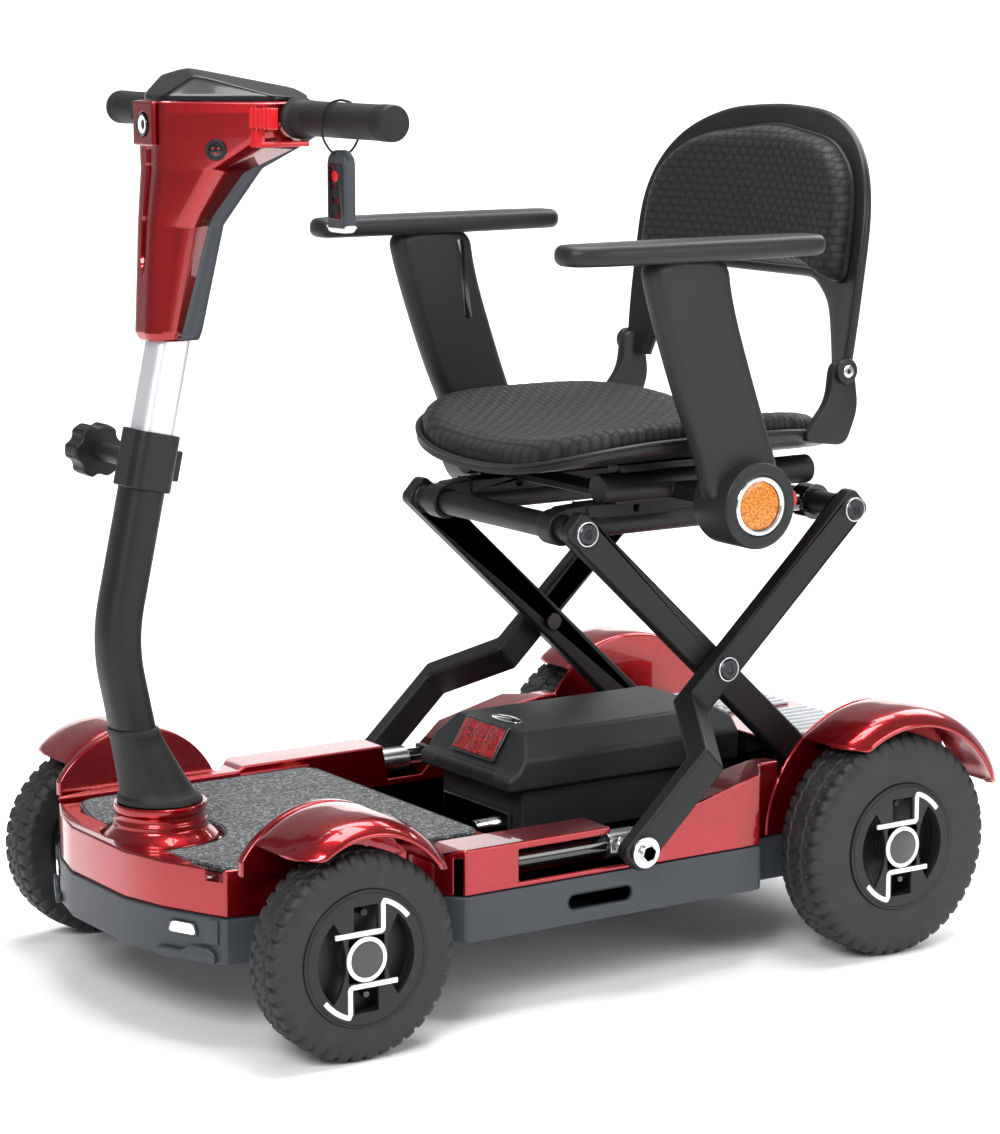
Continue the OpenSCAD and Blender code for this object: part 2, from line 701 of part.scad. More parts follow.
module lever(side) {
    mirror([side < 0 ? 1 : 0, 0, 0]) difference() {
        union() {
            translate([lever_x, bar_y, lever_z]) cylinder(h = 9, r = 9);
            translate([lever_x, bar_y - 6, lever_z]) cube([50, 12, 5]);
            translate([96, bar_y - 52, lever_z]) cube([12, 58, 5]);
            translate([98, bar_y - 52, lever_z]) cube([10, 10, 37]);
            translate([98, bar_y - 54, bar_z - 9]) cube([42, 8, 20]);
            for (i = [0:4]) translate([102 + i * 8, bar_y - 56, bar_z - 8]) cube([4, 4, 18]);
        }
        translate([lever_x, bar_y, lever_z - 1]) cylinder(h = 12, r = 4 + run_gap);
    }
}
module forward_lever() { color("red") lever(1); }
module reverse_lever() { color(black) lever(-1); }

fob_x = 175;
fob_top = 838;

module remote_fob() {
    color([0.2, 0.2, 0.2]) translate([fob_x - 17, bar_y - 6, fob_top - 76]) difference() {
        cube([34, 12, 76]);
        translate([17, -1, 70]) rotate([-90, 0, 0]) cylinder(h = 14, r = 4.2);
    }
}

// Route of the fob's lanyard: once over the grip and down to the fob's eye
lanyard_route = [for (a = [0:30:360]) let (s = sin(a), c = cos(a))
    [fob_x + 4 * s, bar_y + (grip_d / 2 + 3) * s, bar_z - 1 + (c > 0 ? (grip_d / 2 + 3) * c : 32 * c)]];

// A tube with a fixed number of sides along a list of points
module swept_tube(points, r, sides, closed) {
    n = len(points);
    rings = [for (i = [0:n - 1])
        let (before = points[i == 0 ? (closed ? n - 1 : 0) : i - 1],
            after = points[i == n - 1 ? (closed ? 0 : n - 1) : i + 1],
            t = (after - before) / norm(after - before),
            u = [1, 0, 0] - t * t[0], u1 = u / norm(u), v1 = cross(t, u1))
        each [for (k = [0:sides - 1]) points[i] + r * (cos(360 * k / sides) * u1 + sin(360 * k / sides) * v1)]];
    last = closed ? n - 1 : n - 2;
    polyhedron(points = rings, faces = [
        for (i = [0:last], k = [0:sides - 1])
            [i * sides + k, i * sides + (k + 1) % sides,
                ((i + 1) % n) * sides + (k + 1) % sides, ((i + 1) % n) * sides + k]]);
}

module fob_lanyard() {
    color("black") swept_tube([for (i = [0:len(lanyard_route) - 2]) lanyard_route[i]], 1.2, 8, true);
}

// ---- front suspension ----

module knuckle(side) {
    z = front_tyre_d / 2;
    color(black) mirror([side < 0 ? 1 : 0, 0, 0]) {
        translate([kingpin_x, front_axle_y, z - 20]) cylinder(h = 44, r = kingpin_r);
        for (h = [z - 21, z + 16.3]) {
            translate([kingpin_x, front_axle_y, h]) cylinder(h = 6, r = 13);
            translate([kingpin_x, front_axle_y - 10, h]) cube([24, 20, 6]);
        }
        translate([kingpin_x + 18, front_axle_y - 10, z - 20]) cube([6, 20, 42]);
        x_rod(kingpin_x + 20, front_wheel_x + 18, [front_axle_y, z], stub_r);
        translate([kingpin_x - 8, front_axle_y, z + 16.3]) cube([16, steer_arm, 6]);
        translate([kingpin_x, front_axle_y + steer_arm, z + 16.3]) cylinder(h = 6, r = 8);
        translate([kingpin_x, front_axle_y + steer_arm, z + 20]) cylinder(h = 14, r = 4);
    }
}

module tie_rod() {
    z = front_tyre_d / 2 + 23;
    y = front_axle_y + steer_arm;
    color("silver") difference() {
        union() {
            translate([-kingpin_x, y - 8, z]) cube([2 * kingpin_x, 16, 7]);
            both() translate([kingpin_x, y, z]) cylinder(h = 7, r = 12);
            translate([-10, steer_y + steer_arm, z]) cube([20, y - steer_y - steer_arm, 7]);
            translate([0, steer_y + steer_arm, z]) cylinder(h = 7, r = 14);
        }
        both() translate([kingpin_x, y, z - 1]) cylinder(h = 10, r = 7.5);
        translate([0, steer_y + steer_arm, z - 1]) cylinder(h = 10, r = 7.5);
    }
}

// ---- scissor frame ----

// Arm in its own frame: +Y along the arm from the centre pivot towards its top end
module arm_outline(down, up) {
    round = 9;
    rotate([0, -90, 0]) linear_extrude(700, center = true)
        translate([-arm_depth / 2, -down]) {
            translate([0, round]) square([arm_depth, down + up - 2 * round]);
            translate([round, 0]) square([arm_depth - 2 * round, down + up]);
            for (x = [round, arm_depth - round], y = [round, down + up - round]) translate([x, y]) circle(round);
        }
}

module inner_arm() {
    reach = arm_length / 2 + arm_depth / 2;
    intersection() {
        arm_outline(reach, reach);
        translate([inner_arm_x, -reach, -arm_depth / 2]) cube([arm_thick, 2 * reach, arm_depth]);
    }
}

// Its lower half jogs outward, over the sill, to run beside the body
module outer_arm() {
    reach = arm_length / 2 + arm_depth / 2;
    x0 = outer_arm_x;
    x1 = jog_x;
    intersection() {
        arm_outline(reach, reach);
        linear_extrude(arm_depth, center = true) polygon([[x0, reach], [x0 + arm_thick, reach],
            [x0 + arm_thick, -46], [x1 + arm_thick, -102], [x1 + arm_thick, -reach], [x1, -reach],
            [x1, -118], [x0, -62]]);
    }
}

module inner_pose() { translate([0, centre_pivot[0], centre_pivot[1]]) rotate([180 - arm_angle, 0, 0]) children(); }
module outer_pose() { translate([0, centre_pivot[0], centre_pivot[1]]) rotate([arm_angle, 0, 0]) children(); }

module inner_scissor() {
    color(black) difference() {
        union() {
            inner_pose() both() inner_arm();
            x_rod(-inner_arm_x - 1, inner_arm_x + 1, front_top, cross_tube_r);
            both() x_rod(inner_arm_x + arm_thick - 0.1, inner_arm_x + arm_thick + 5, front_top, 11);
        }
        both() x_rod(inner_arm_x - 5, inner_arm_x + arm_thick + 5, rear_low, pin_r + run_gap);
        both() x_rod(inner_arm_x - 5, inner_arm_x + arm_thick + 5, centre_pivot, pin_r + run_gap);
    }
}

module outer_scissor() {
    color(black) difference() {
        union() {
            outer_pose() both() outer_arm();
            x_rod(-outer_arm_x - 1, outer_arm_x + 1, rear_top, cross_tube_r);
            both() x_rod(outer_arm_x + arm_thick - 0.1, outer_arm_x + arm_thick + 5, rear_top, 11);
        }
        both() x_rod(outer_arm_x - 5, outer_arm_x + arm_thick + 5, centre_pivot, pin_r);
        both() x_rod(jog_x - 5, jog_x + arm_thick + 5, front_low, pin_r + run_gap);
    }
}

// Centre bolts, fixed in the outer arms, that the inner arms turn on
module pivot_bolts() {
    color([0.3, 0.3, 0.3]) both() {
        x_rod(inner_arm_x - 3, outer_arm_x + arm_thick + 1, centre_pivot, pin_r);
        x_rod(outer_arm_x + arm_thick + 0.1, outer_arm_x + arm_thick + 4, centre_pivot, 10);
        x_rod(inner_arm_x - 6, inner_arm_x - 1, centre_pivot, 9);
    }
}

module slide_shoes() {
    color("silver") both() difference() {
        union() {
            translate([rod_x, front_low[0] - 18, low_pivot_z]) rotate([-90, 0, 0]) cylinder(h = 36, r = 14);
            x_rod(rod_x + 8, jog_x + arm_thick + 6, front_low, pin_r);
            x_rod(rod_x + 8, jog_x - 1, front_low, 10);
            x_rod(jog_x + arm_thick + 0.3, jog_x + arm_thick + 3, front_low, 15);
            x_rod(jog_x + arm_thick + 2.9, jog_x + arm_thick + 10, front_low, 9);
        }
        translate([rod_x, front_low[0] - 30, low_pivot_z]) rotate([-90, 0, 0])
            cylinder(h = 60, r = rod_r + run_gap);
    }
}

// Bars hinged on the rear cross tube that slide in the seat rails as the frame folds
module seat_slide_bars() {
    color([0.3, 0.3, 0.3]) both() difference() {
        union() {
            translate([slide_bar_x, rear_top[0] - 250, rear_top[1]]) rotate([-90, 0, 0])
                cylinder(h = 234, r = slide_bar_r);
            x_rod(slide_bar_x - 11, slide_bar_x + 11, rear_top, 19);
        }
        x_rod(slide_bar_x - 20, slide_bar_x + 20, rear_top, cross_tube_r + run_gap);
    }
}

// ---- seat ----

module seat_frame() {
    rail_front = front_top[0] + 28;
    rail_back = rear_top[0] - 58;
    color(black) difference() {
        union() {
            both() translate([slide_bar_x, rail_front, front_top[1]]) rotate([-90, 0, 0])
                cylinder(h = rail_back - rail_front, r = 14);
            both() translate([slide_bar_x - 15, rail_front, front_top[1] + 8]) cube([30, rail_back - rail_front, 14]);
            both() side_plate(slide_bar_x - 12, slide_bar_x + 12) polygon([
                [front_top[0] - 10, front_top[1] + 12], [front_top[0] + 4, front_top[1] + 20], [rail_front + 10, front_top[1] + 22],
                [rail_front + 10, front_top[1] - 8], [front_top[0], front_top[1] - 16], [front_top[0] - 16, front_top[1] - 4]]);
            both() x_rod(slide_bar_x - 12, slide_bar_x + 12, front_top, 18);
            for (y = [rail_front + 40, rail_back - 60])
                translate([-slide_bar_x - 14, y, front_top[1] + 21.9]) cube([2 * slide_bar_x + 28, 40, 8]);
            both() translate([slide_bar_x + 16, rail_front + 10, front_top[1] + 38]) rotate([-90, 0, 0])
                cylinder(h = rail_back - rail_front + 30, r = 15);
            both() side_box(slide_bar_x - 4, slide_bar_x + 20, rail_front + 30, rail_back - 10,
                front_top[1] + 20, front_top[1] + 34);
            // armrest carriers
            both() side_box(slide_bar_x + 16, armrest_x - 0.3, armrest_pivot[0] - 16, armrest_pivot[0] + 16,
                armrest_pivot[1] - 6, armrest_pivot[1] + 10);
            both() x_rod(slide_bar_x + 30, armrest_x + 30, armrest_pivot, 8);
        }
        both() translate([slide_bar_x, rail_front + 20, front_top[1]]) rotate([-90, 0, 0])
            cylinder(h = 400, r = slide_bar_r + run_gap);
        both() x_rod(slide_bar_x - 20, slide_bar_x + 20, front_top, cross_tube_r + run_gap);
        both() x_rod(0, slide_bar_x + 20, [rail_front + 60, front_top[1] + 15], 4);
        // bore of the release knob's stem
        x_rod(slide_bar_x - 4, slide_bar_x + 30, [rail_back - 20, front_top[1] + 15], 4 + run_gap);
    }
}

// Cushion outline seen from above
module seat_plan(inset) {
    w = seat_w / 2 - inset;
    y0 = seat_front_y + inset;
    y1 = seat_back_y - inset;
    polygon([[-w * 0.55, y0 + 4], [0, y0], [w * 0.55, y0 + 4], [w * 0.86, y0 + 34], [w, y0 + 92],
        [w, y1 - 90], [w * 0.84, y1 - 24], [w * 0.6, y1], [-w * 0.6, y1], [-w * 0.84, y1 - 24],
        [-w, y1 - 90], [-w, y0 + 92], [-w * 0.86, y0 + 34]]);
}

// Saddle section across the seat, between two heights above seat_z, swept along Y
module saddle(low, high) {
    w = seat_w / 2 + 4;
    shape = [[0, 0], [0.3, 3], [0.6, 12], [0.85, 26], [1, 36]];
    translate([0, 600, 0]) rotate([90, 0, 0]) linear_extrude(1200) polygon([
        for (i = [4:-1:1]) [-shape[i][0] * w, seat_z + low + shape[i][1]],
        for (i = [0:4]) [shape[i][0] * w, seat_z + low + shape[i][1]],
        for (i = [4:-1:0]) [shape[i][0] * w, seat_z + high + shape[i][1]],
        for (i = [1:4]) [-shape[i][0] * w, seat_z + high + shape[i][1]]]);
}

module seat_shell() {
    color(black) {
        intersection() {
            translate([0, 0, seat_z - 20]) linear_extrude(120) seat_plan(-3);
            saddle(0, 9);
        }
        // mounting feet on the frame's tubes
        both() side_box(slide_bar_x, slide_bar_x + 26, seat_front_y + 90, seat_front_y + 250,
            front_top[1] + 53.3, seat_z + 18);
        // uprights to the backrest hinges
        both() difference() {
            side_plate(178, 190) polygon([[back_hinge[0] - 52, seat_z + 30], [back_hinge[0] + 4, seat_z + 22],
                [back_hinge[0] + 20, seat_z + 60], [back_hinge[0] + 13, back_hinge[1] + 12],
                [back_hinge[0] - 13, back_hinge[1] + 12], [back_hinge[0] - 18, seat_z + 70]]);
            x_rod(170, 200, back_hinge, 5 + run_gap);
        }
    }
}

module seat_cushion() {
    color([0.1, 0.1, 0.105]) intersection() {
        translate([0, 0, seat_z - 20]) linear_extrude(120) seat_plan(2);
        saddle(9.3, 36);
    }
}

module release_knob() {
    at = [rear_top[0] - 78, front_top[1] + 15];
    color("red") {
        x_rod(slide_bar_x - 2, slide_bar_x + 46, at, 4);
        x_rod(slide_bar_x + 40, slide_bar_x + 62, at, 12);
    }
}

// ---- backrest, drawn upright at its hinge and leaned back ----

module back_pose() { translate([0, back_hinge[0], back_hinge[1]]) rotate([-back_lean, 0, 0]) children(); }

// Curved section of the shell from above, its middle lies behind its sides
module back_section(front, back) {
    w = back_w / 2;
    shape = [[0, 26], [0.35, 22], [0.7, 11], [1, -4]];
    polygon([for (i = [3:-1:1]) [-shape[i][0] * w, shape[i][1] + front], for (i = [0:3]) [shape[i][0] * w, shape[i][1] + front],
        for (i = [3:-1:0]) [shape[i][0] * w, shape[i][1] + back], for (i = [1:3]) [-shape[i][0] * w, shape[i][1] + back]]);
}

module back_outline() {
    w = back_w / 2;
    h = back_h;
    polygon([[-w + 4, -14], [-w, 40], [-w, h - 110], [-w + 16, h - 66], [-w + 50, h - 30], [-w + 110, h - 6], [0, h],
        [w - 110, h - 6], [w - 50, h - 30], [w - 16, h - 66], [w, h - 110], [w, 40], [w - 4, -14],
        [w - 34, -14], [w - 44, 20], [w - 62, 66], [w - 100, 92], [100 - w, 92], [62 - w, 66], [44 - w, 20], [34 - w, -14]]);
}

module back_frame() {
    color(black) back_pose() difference() {
        union() {
            intersection() {
                linear_extrude(700, center = true) back_section(0, 12);
                translate([0, 60, 0]) rotate([90, 0, 0]) linear_extrude(120) back_outline();
            }
            both() translate([167, -13, -13]) cube([10.6, 26, 30]);
            both() x_rod(168, 192, [0, 0], 5);
        }
        // room for the seat shell's uprights
        both() translate([177.6, -22, -40]) cube([12.9, 44, 60]);
    }
}

module back_cushion() {
    w = back_w / 2 - 24;
    h = back_h;
    color([0.1, 0.1, 0.105]) back_pose() intersection() {
        linear_extrude(700, center = true) back_section(-26, -0.4);
        translate([0, 60, 0]) rotate([90, 0, 0]) linear_extrude(120) polygon([[-w, 84], [-w, h - 110], [-w + 16, h - 70],
            [-w + 60, h - 40], [0, h - 24], [w - 60, h - 40], [w - 16, h - 70], [w, h - 110], [w, 84], [w - 60, 104], [60 - w, 104]]);
    }
}

// ---- armrests ----

module armrest() {
    top = armrest_z - 22;
    py = armrest_pivot[0];
    pz = armrest_pivot[1];
    difference() {
        union() {
            x_rod(armrest_x, armrest_x + 56, armrest_pivot, armrest_hub_r);
            side_plate(armrest_x + 12, armrest_x + 40) polygon([[py - 46, pz - 6], [py + 46, pz - 6], [py + 36, pz + 44],
                [py + 14, pz + 100], [py - 20, pz + 200], [py - 26, top], [py - 128, top], [py - 116, pz + 200],
                [py - 81, pz + 100], [py - 58, pz + 50]]);
            translate([armrest_x + 1, front_axle_y + 253, top]) linear_extrude(22) armrest_plan();
        }
        x_rod(armrest_x - 1, armrest_x + 31, armrest_pivot, 8 + run_gap);
        x_rod(armrest_x + 52, armrest_x + 60, armrest_pivot, 30);
    }
}

module armrest_plan() {
    polygon([[10, 0], [36, 0], [48, 14], [56, 50], [56, 200], [50, armrest_len - 10], [40, armrest_len],
        [14, armrest_len], [6, armrest_len - 10], [0, 200], [0, 50], [2, 14]]);
}

module left_armrest() { color(black) armrest(); }
module right_armrest() { color(black) mirror([1, 0, 0]) armrest(); }

module armrest_reflector() {
    color("orange") x_rod(armrest_x + 52.2, armrest_x + 55, armrest_pivot, 24);
}

// ---- every node ----

chassis_frame();
body_pan();
deck_shell();
deck_mat();
front_lamps();
turret_collar();
front_fenders();
rear_fenders();
guide_rods();
drive_unit();
step_pads();
controller_box();
battery_case();
battery_reflector();
battery_latch();
steering_column();
gaiter();
tiller_tube();
clamp_collar();
clamp_knob();
inner_tube();
head_cowl();
head_rear_cover();
dash_visor();
nose_panel();
headlight();
key_socket();
handlebar();
grip(1);  // left_grip
grip(-1);  // right_grip
forward_lever();
reverse_lever();
remote_fob();
fob_lanyard();
knuckle(1);  // left_knuckle
knuckle(-1);  // right_knuckle
tie_rod();
tyre(front_wheel_x, front_axle_y, front_tyre_d, front_tyre_w);  // front_left_tyre
rim(front_wheel_x, front_axle_y, front_tyre_d, front_tyre_w, stub_r + run_gap, 28);  // front_left_rim
tyre(-front_wheel_x, front_axle_y, front_tyre_d, front_tyre_w);  // front_right_tyre
rim(-front_wheel_x, front_axle_y, front_tyre_d, front_tyre_w, stub_r + run_gap, 28);  // front_right_rim
tyre(rear_wheel_x, rear_axle_y, rear_tyre_d, rear_tyre_w);  // rear_left_tyre
rear_rim(1);  // rear_left_rim
tyre(-rear_wheel_x, rear_axle_y, rear_tyre_d, rear_tyre_w);  // rear_right_tyre
rear_rim(-1);  // rear_right_rim
inner_scissor();
outer_scissor();
pivot_bolts();
slide_shoes();
seat_slide_bars();
seat_frame();
seat_shell();
seat_cushion();
release_knob();
back_frame();
back_cushion();
left_armrest();
right_armrest();
armrest_reflector();  // left_reflector
mirror([1, 0, 0]) armrest_reflector();  // right_reflector

// Rear rim with the half shaft that drives it
module rear_rim(side) {
    rim(side * rear_wheel_x, rear_axle_y, rear_tyre_d, rear_tyre_w, half_shaft_r - 0.01, 28);
    color("silver") mirror([side < 0 ? 1 : 0, 0, 0])
        x_rod(60, rear_wheel_x + 20.5, [rear_axle_y, rear_tyre_d / 2], half_shaft_r);
}
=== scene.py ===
"""Looks of a folding four-wheel mobility scooter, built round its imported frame.

Lengths in this file are millimetres in the part's own frame (+Z up, the front faces -Y, the
rider's left is +X) and become metres only where a mesh is made. The studio's are metres.
"""

import json
import logging
import math
from dataclasses import dataclass, field
from enum import Enum
from typing import Callable, Sequence

import bmesh
import bpy
import numpy as np
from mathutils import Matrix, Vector


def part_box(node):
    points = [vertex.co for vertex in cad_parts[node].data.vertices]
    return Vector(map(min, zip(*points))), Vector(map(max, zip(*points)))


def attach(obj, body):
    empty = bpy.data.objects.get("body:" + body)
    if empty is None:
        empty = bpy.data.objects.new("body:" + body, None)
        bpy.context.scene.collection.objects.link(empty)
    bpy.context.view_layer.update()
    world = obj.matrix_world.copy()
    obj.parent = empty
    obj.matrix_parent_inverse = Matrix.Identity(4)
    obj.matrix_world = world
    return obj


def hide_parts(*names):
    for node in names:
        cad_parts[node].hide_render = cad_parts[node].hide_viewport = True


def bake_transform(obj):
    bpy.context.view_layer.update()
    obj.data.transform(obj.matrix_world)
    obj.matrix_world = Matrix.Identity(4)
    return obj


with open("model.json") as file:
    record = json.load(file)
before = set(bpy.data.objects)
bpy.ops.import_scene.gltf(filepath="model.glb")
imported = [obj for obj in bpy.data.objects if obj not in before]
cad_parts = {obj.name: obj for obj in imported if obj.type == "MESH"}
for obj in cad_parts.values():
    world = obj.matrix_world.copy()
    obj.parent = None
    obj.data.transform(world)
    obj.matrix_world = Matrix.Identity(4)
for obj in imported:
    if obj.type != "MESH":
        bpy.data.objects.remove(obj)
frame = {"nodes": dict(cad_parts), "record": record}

logging.basicConfig(level=logging.INFO, format="%(message)s")
log = logging.getLogger("scooter")
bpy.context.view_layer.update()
Array = np.ndarray
TAU = 2 * math.pi
MM = 0.001
METRE = 1000.0
SIDES = ((1, "left"), (-1, "right"))


class Axis(Enum):
    """The direction that a flat outline is thickened along."""

    X = "x"
    Y = "y"
    Z = "z"


# ---- meshes ----


def add_object(name: str, data: bpy.types.ID) -> bpy.types.Object:
    """Makes an object for a mesh, camera or light and links it to the scene.

    Args:
        name: The object's name.
        data: What it shows.

    Returns:
        The new object.
    """
    obj = bpy.data.objects.new(name, data)
    bpy.context.scene.collection.objects.link(obj)
    return obj


def mesh_object(name: str, points: Array, faces: list, sharp: float = 40.0,
                turn: bool = True) -> bpy.types.Object:
    """Makes an object from points and faces.

    Args:
        name: The object's name.
        points: Corner points, shape (n, 3), in millimetres.
        faces: Lists of point numbers.
        sharp: Edges that turn by more than this many degrees are shaded sharp.
        turn: Whether the faces are turned outwards.

    Returns:
        The new object, at the origin and linked to the scene.
    """
    mesh = bpy.data.meshes.new(name)
    mesh.from_pydata((np.asarray(points, float) * MM).tolist(), [], faces)
    bm = bmesh.new()
    bm.from_mesh(mesh)
    bmesh.ops.remove_doubles(bm, verts=bm.verts, dist=2e-6)
    if turn:
        bmesh.ops.recalc_face_normals(bm, faces=bm.faces)
    bm.to_mesh(mesh)
    bm.free()
    shade(mesh, sharp)
    return add_object(name, mesh)


def shade(mesh: bpy.types.Mesh, sharp: float) -> None:
    """Shades a mesh smooth, but for edges that turn by more than sharp degrees."""
    mesh.polygons.foreach_set("use_smooth", np.ones(len(mesh.polygons), bool))
    mesh.set_sharp_from_angle(angle=math.radians(sharp))


def grid_faces(rows: int, cols: int, wrap_rows: bool, wrap_cols: bool) -> Array:
    """Quads over a grid of points.

    Args:
        rows: Points in the first direction.
        cols: Points in the second direction.
        wrap_rows: Whether the last row joins the first.
        wrap_cols: Whether the last column joins the first.

    Returns:
        Point numbers, shape (quads, 4).
    """
    i = np.arange(rows if wrap_rows else rows - 1)
    j = np.arange(cols if wrap_cols else cols - 1)
    a, b = np.meshgrid(i, j, indexing="ij")
    a2, b2 = (a + 1) % rows, (b + 1) % cols
    return np.stack([a * cols + b, a2 * cols + b, a2 * cols + b2, a * cols + b2], -1).reshape(-1, 4)


def loft(name: str, rings: Array, closed: bool = False, sharp: float = 40.0) -> bpy.types.Object:
    """Joins closed rings of points into a skin.

    Args:
        name: The object's name.
        rings: Points of shape (rings, points in a ring, 3).
        closed: Whether the last ring joins the first, as in a hoop; else both ends are filled.
        sharp: Shading angle in degrees.

    Returns:
        The new object.
    """
    rows, cols = rings.shape[:2]
    faces = grid_faces(rows, cols, closed, True).tolist()
    if not closed:
        faces.append(list(range(cols))[::-1])
        faces.append(list(range((rows - 1) * cols, rows * cols)))
    return mesh_object(name, rings.reshape(-1, 3), faces, sharp)


def place(uv: Array, depth: Array, axis: Axis) -> Array:
    """Puts an outline's two coordinates and its depth where the axis says.

    Args:
        uv: Outline points, shape (..., 2).
        depth: Depth of each point, or one for all.
        axis: The direction of the depth.

    Returns:
        Points, shape (..., 3).
    """
    u, v = uv[..., 0], uv[..., 1]
    w = np.broadcast_to(depth, u.shape)
    order = {Axis.X: (w, u, v), Axis.Y: (u, w, v), Axis.Z: (u, v, w)}[axis]
    return np.stack(order, -1)


def quadratic(t: Array, start: Array, middle: Array, end: Array) -> Array:
    """A quadratic curve at t: the corner points weighted by (1 - t)^2, 2 t (1 - t) and t^2."""
    return (1 - t) ** 2 * start + 2 * t * (1 - t) * middle + t**2 * end


def oval(half_u: float, half_v: float, count: int) -> Array:
    """Points of an ellipse about the origin: its half sizes times the cosine and sine of even steps."""
    t = np.linspace(0, TAU, count + 1)[:-1]
    return np.stack([half_u * np.cos(t), half_v * np.sin(t)], -1)


def oblong(u0: float, u1: float, v0: float, v1: float) -> list:
    """Corners of a rectangle from u0 to u1 and v0 to v1."""
    return [[u0, v0], [u1, v0], [u1, v1], [u0, v1]]


def fillet(corners: Sequence, radius: float, steps: int = 5) -> Array:
    """Rounds each corner of a closed outline with a quadratic curve.

    Args:
        corners: Corner points (x, y) in order.
        radius: How far along each side the rounding begins, cut to 45% of a short side.
        steps: Points on each rounded corner.

    Returns:
        Points of shape (corners * steps, 2).
    """
    p = np.asarray(corners, float)
    back, ahead = np.roll(p, 1, 0) - p, np.roll(p, -1, 0) - p
    lb, la = np.linalg.norm(back, axis=1), np.linalg.norm(ahead, axis=1)
    a = p + back / lb[:, None] * np.minimum(radius, lb * 0.45)[:, None]
    b = p + ahead / la[:, None] * np.minimum(radius, la * 0.45)[:, None]
    t = np.linspace(0, 1, steps)[None, :, None]
    return quadratic(t, a[:, None], p[:, None], b[:, None]).reshape(-1, 2)


def round_corner(before: Array, corner: Array, after: Array, reach: float, count: int = 5) -> Array:
    """Rounds one corner of an open outline with a quadratic curve.

    Args:
        before: The point before the corner.
        corner: The corner.
        after: The point after it.
        reach: How far along each side the rounding begins, cut to 45% of a short side.
        count: Points on the curve.

    Returns:
        Points of shape (count, 2).
    """
    back, ahead = before - corner, after - corner
    lb, la = np.linalg.norm(back), np.linalg.norm(ahead)
    start = corner + back / lb * min(reach, lb * 0.45)
    end = corner + ahead / la * min(reach, la * 0.45)
    return quadratic(np.linspace(0, 1, count)[:, None], start, corner, end)


def resample(points: Array, count: int, closed: bool = True) -> Array:
    """Spaces points evenly along a line, by its length from corner to corner.

    Args:
        points: The line's corners, shape (n, 2) or (n, 3).
        count: How many points come back.
        closed: Whether the line is a loop.

    Returns:
        The spaced points.
    """
    p = np.vstack([points, points[:1]]) if closed else points
    run = np.concatenate([[0], np.cumsum(np.linalg.norm(np.diff(p, axis=0), axis=1))])
    at = np.linspace(0, run[-1], count + 1)[:-1] if closed else np.linspace(0, run[-1], count)
    return np.stack([np.interp(at, run, p[:, k]) for k in range(p.shape[1])], -1)


def relax(line: Array, times: int) -> None:
    """Smooths a line in place: each inner point goes to the mean of its neighbours and twice itself."""
    for _ in range(times):
        line[1:-1] = (line[:-2] + 2 * line[1:-1] + line[2:]) / 4


def outline_normals(p: Array) -> Array:
    """Outward unit normals of a closed outline, square to the line between each point's neighbours.

    Args:
        p: The outline, shape (n, 2).

    Returns:
        One normal for each point.
    """
    d = np.roll(p, -1, 0) - np.roll(p, 1, 0)
    n = np.stack([d[:, 1], -d[:, 0]], -1)
    n /= np.maximum(np.linalg.norm(n, axis=1), 1e-9)[:, None]
    area = np.sum(p[:, 0] * np.roll(p[:, 1], -1) - p[:, 1] * np.roll(p[:, 0], -1))
    return n if area > 0 else -n


def slab(name: str, outline: Array, low: float, high: float, axis: Axis, edge: float,
         steps: int = 4, sharp: float = 40.0, crown: float = 0.0) -> bpy.types.Object:
    """Thickens a closed outline into a plate with rounded edges.

    Each ring is the outline moved in by edge * (1 - sin a) at a depth of edge * (1 - cos a).

    Args:
        name: The object's name.
        outline: Points (n, 2).
        low: Depth of the lower face.
        high: Depth of the upper face.
        axis: Direction of the thickness.
        edge: Radius of the rounded edges.
        steps: Rings on each rounded edge.
        sharp: Shading angle.
        crown: Extra height in the middle of the upper face, as an inner ring.

    Returns:
        The new object.
    """
    n = outline_normals(outline)
    a = np.linspace(0, math.pi / 2, steps)
    inset = edge * (1 - np.sin(a))
    depth = edge * (1 - np.cos(a))
    rings = [place(outline - n * i, low + edge - edge * np.cos(t) + 0 * i, axis)
             for i, t in zip(inset, a)]
    rings += [place(outline - n * i, high - d, axis) for i, d in zip(inset[::-1], depth[::-1])]
    if crown:
        middle = outline.mean(0)
        for k, t in enumerate(np.linspace(0.15, 0.9, 6)):
            ring = (outline - n * edge) * (1 - t) + middle * t
            rings.append(place(ring, high + crown * (1 - (1 - t) ** 2), axis))
    return loft(name, np.array(rings), sharp=sharp)


def sweep(name: str, path: Array, profile: Array, side: Sequence[float], closed: bool = False,
          sharp: float = 40.0) -> bpy.types.Object:
    """Carries a closed profile along a path, square to the path's direction at each point.

    Args:
        name: The object's name.
        path: Points (n, 3).
        profile: Points (m, 2): along the side direction, and across it and the path.
        side: A direction that is never along the path, for the profile's first coordinate.
        closed: Whether the path is a loop.
        sharp: Shading angle.

    Returns:
        The new object.
    """
    if closed:
        t = np.roll(path, -1, 0) - np.roll(path, 1, 0)
    else:
        t = np.gradient(path, axis=0)
    t /= np.linalg.norm(t, axis=1)[:, None]
    s = np.asarray(side, float)[None] - t * (t @ np.asarray(side, float))[:, None]
    s /= np.linalg.norm(s, axis=1)[:, None]
    c = np.cross(t, s)
    rings = path[:, None] + (s[:, None] * profile[None, :, :1] + c[:, None] * profile[None, :, 1:])
    return loft(name, rings, closed=closed, sharp=sharp)


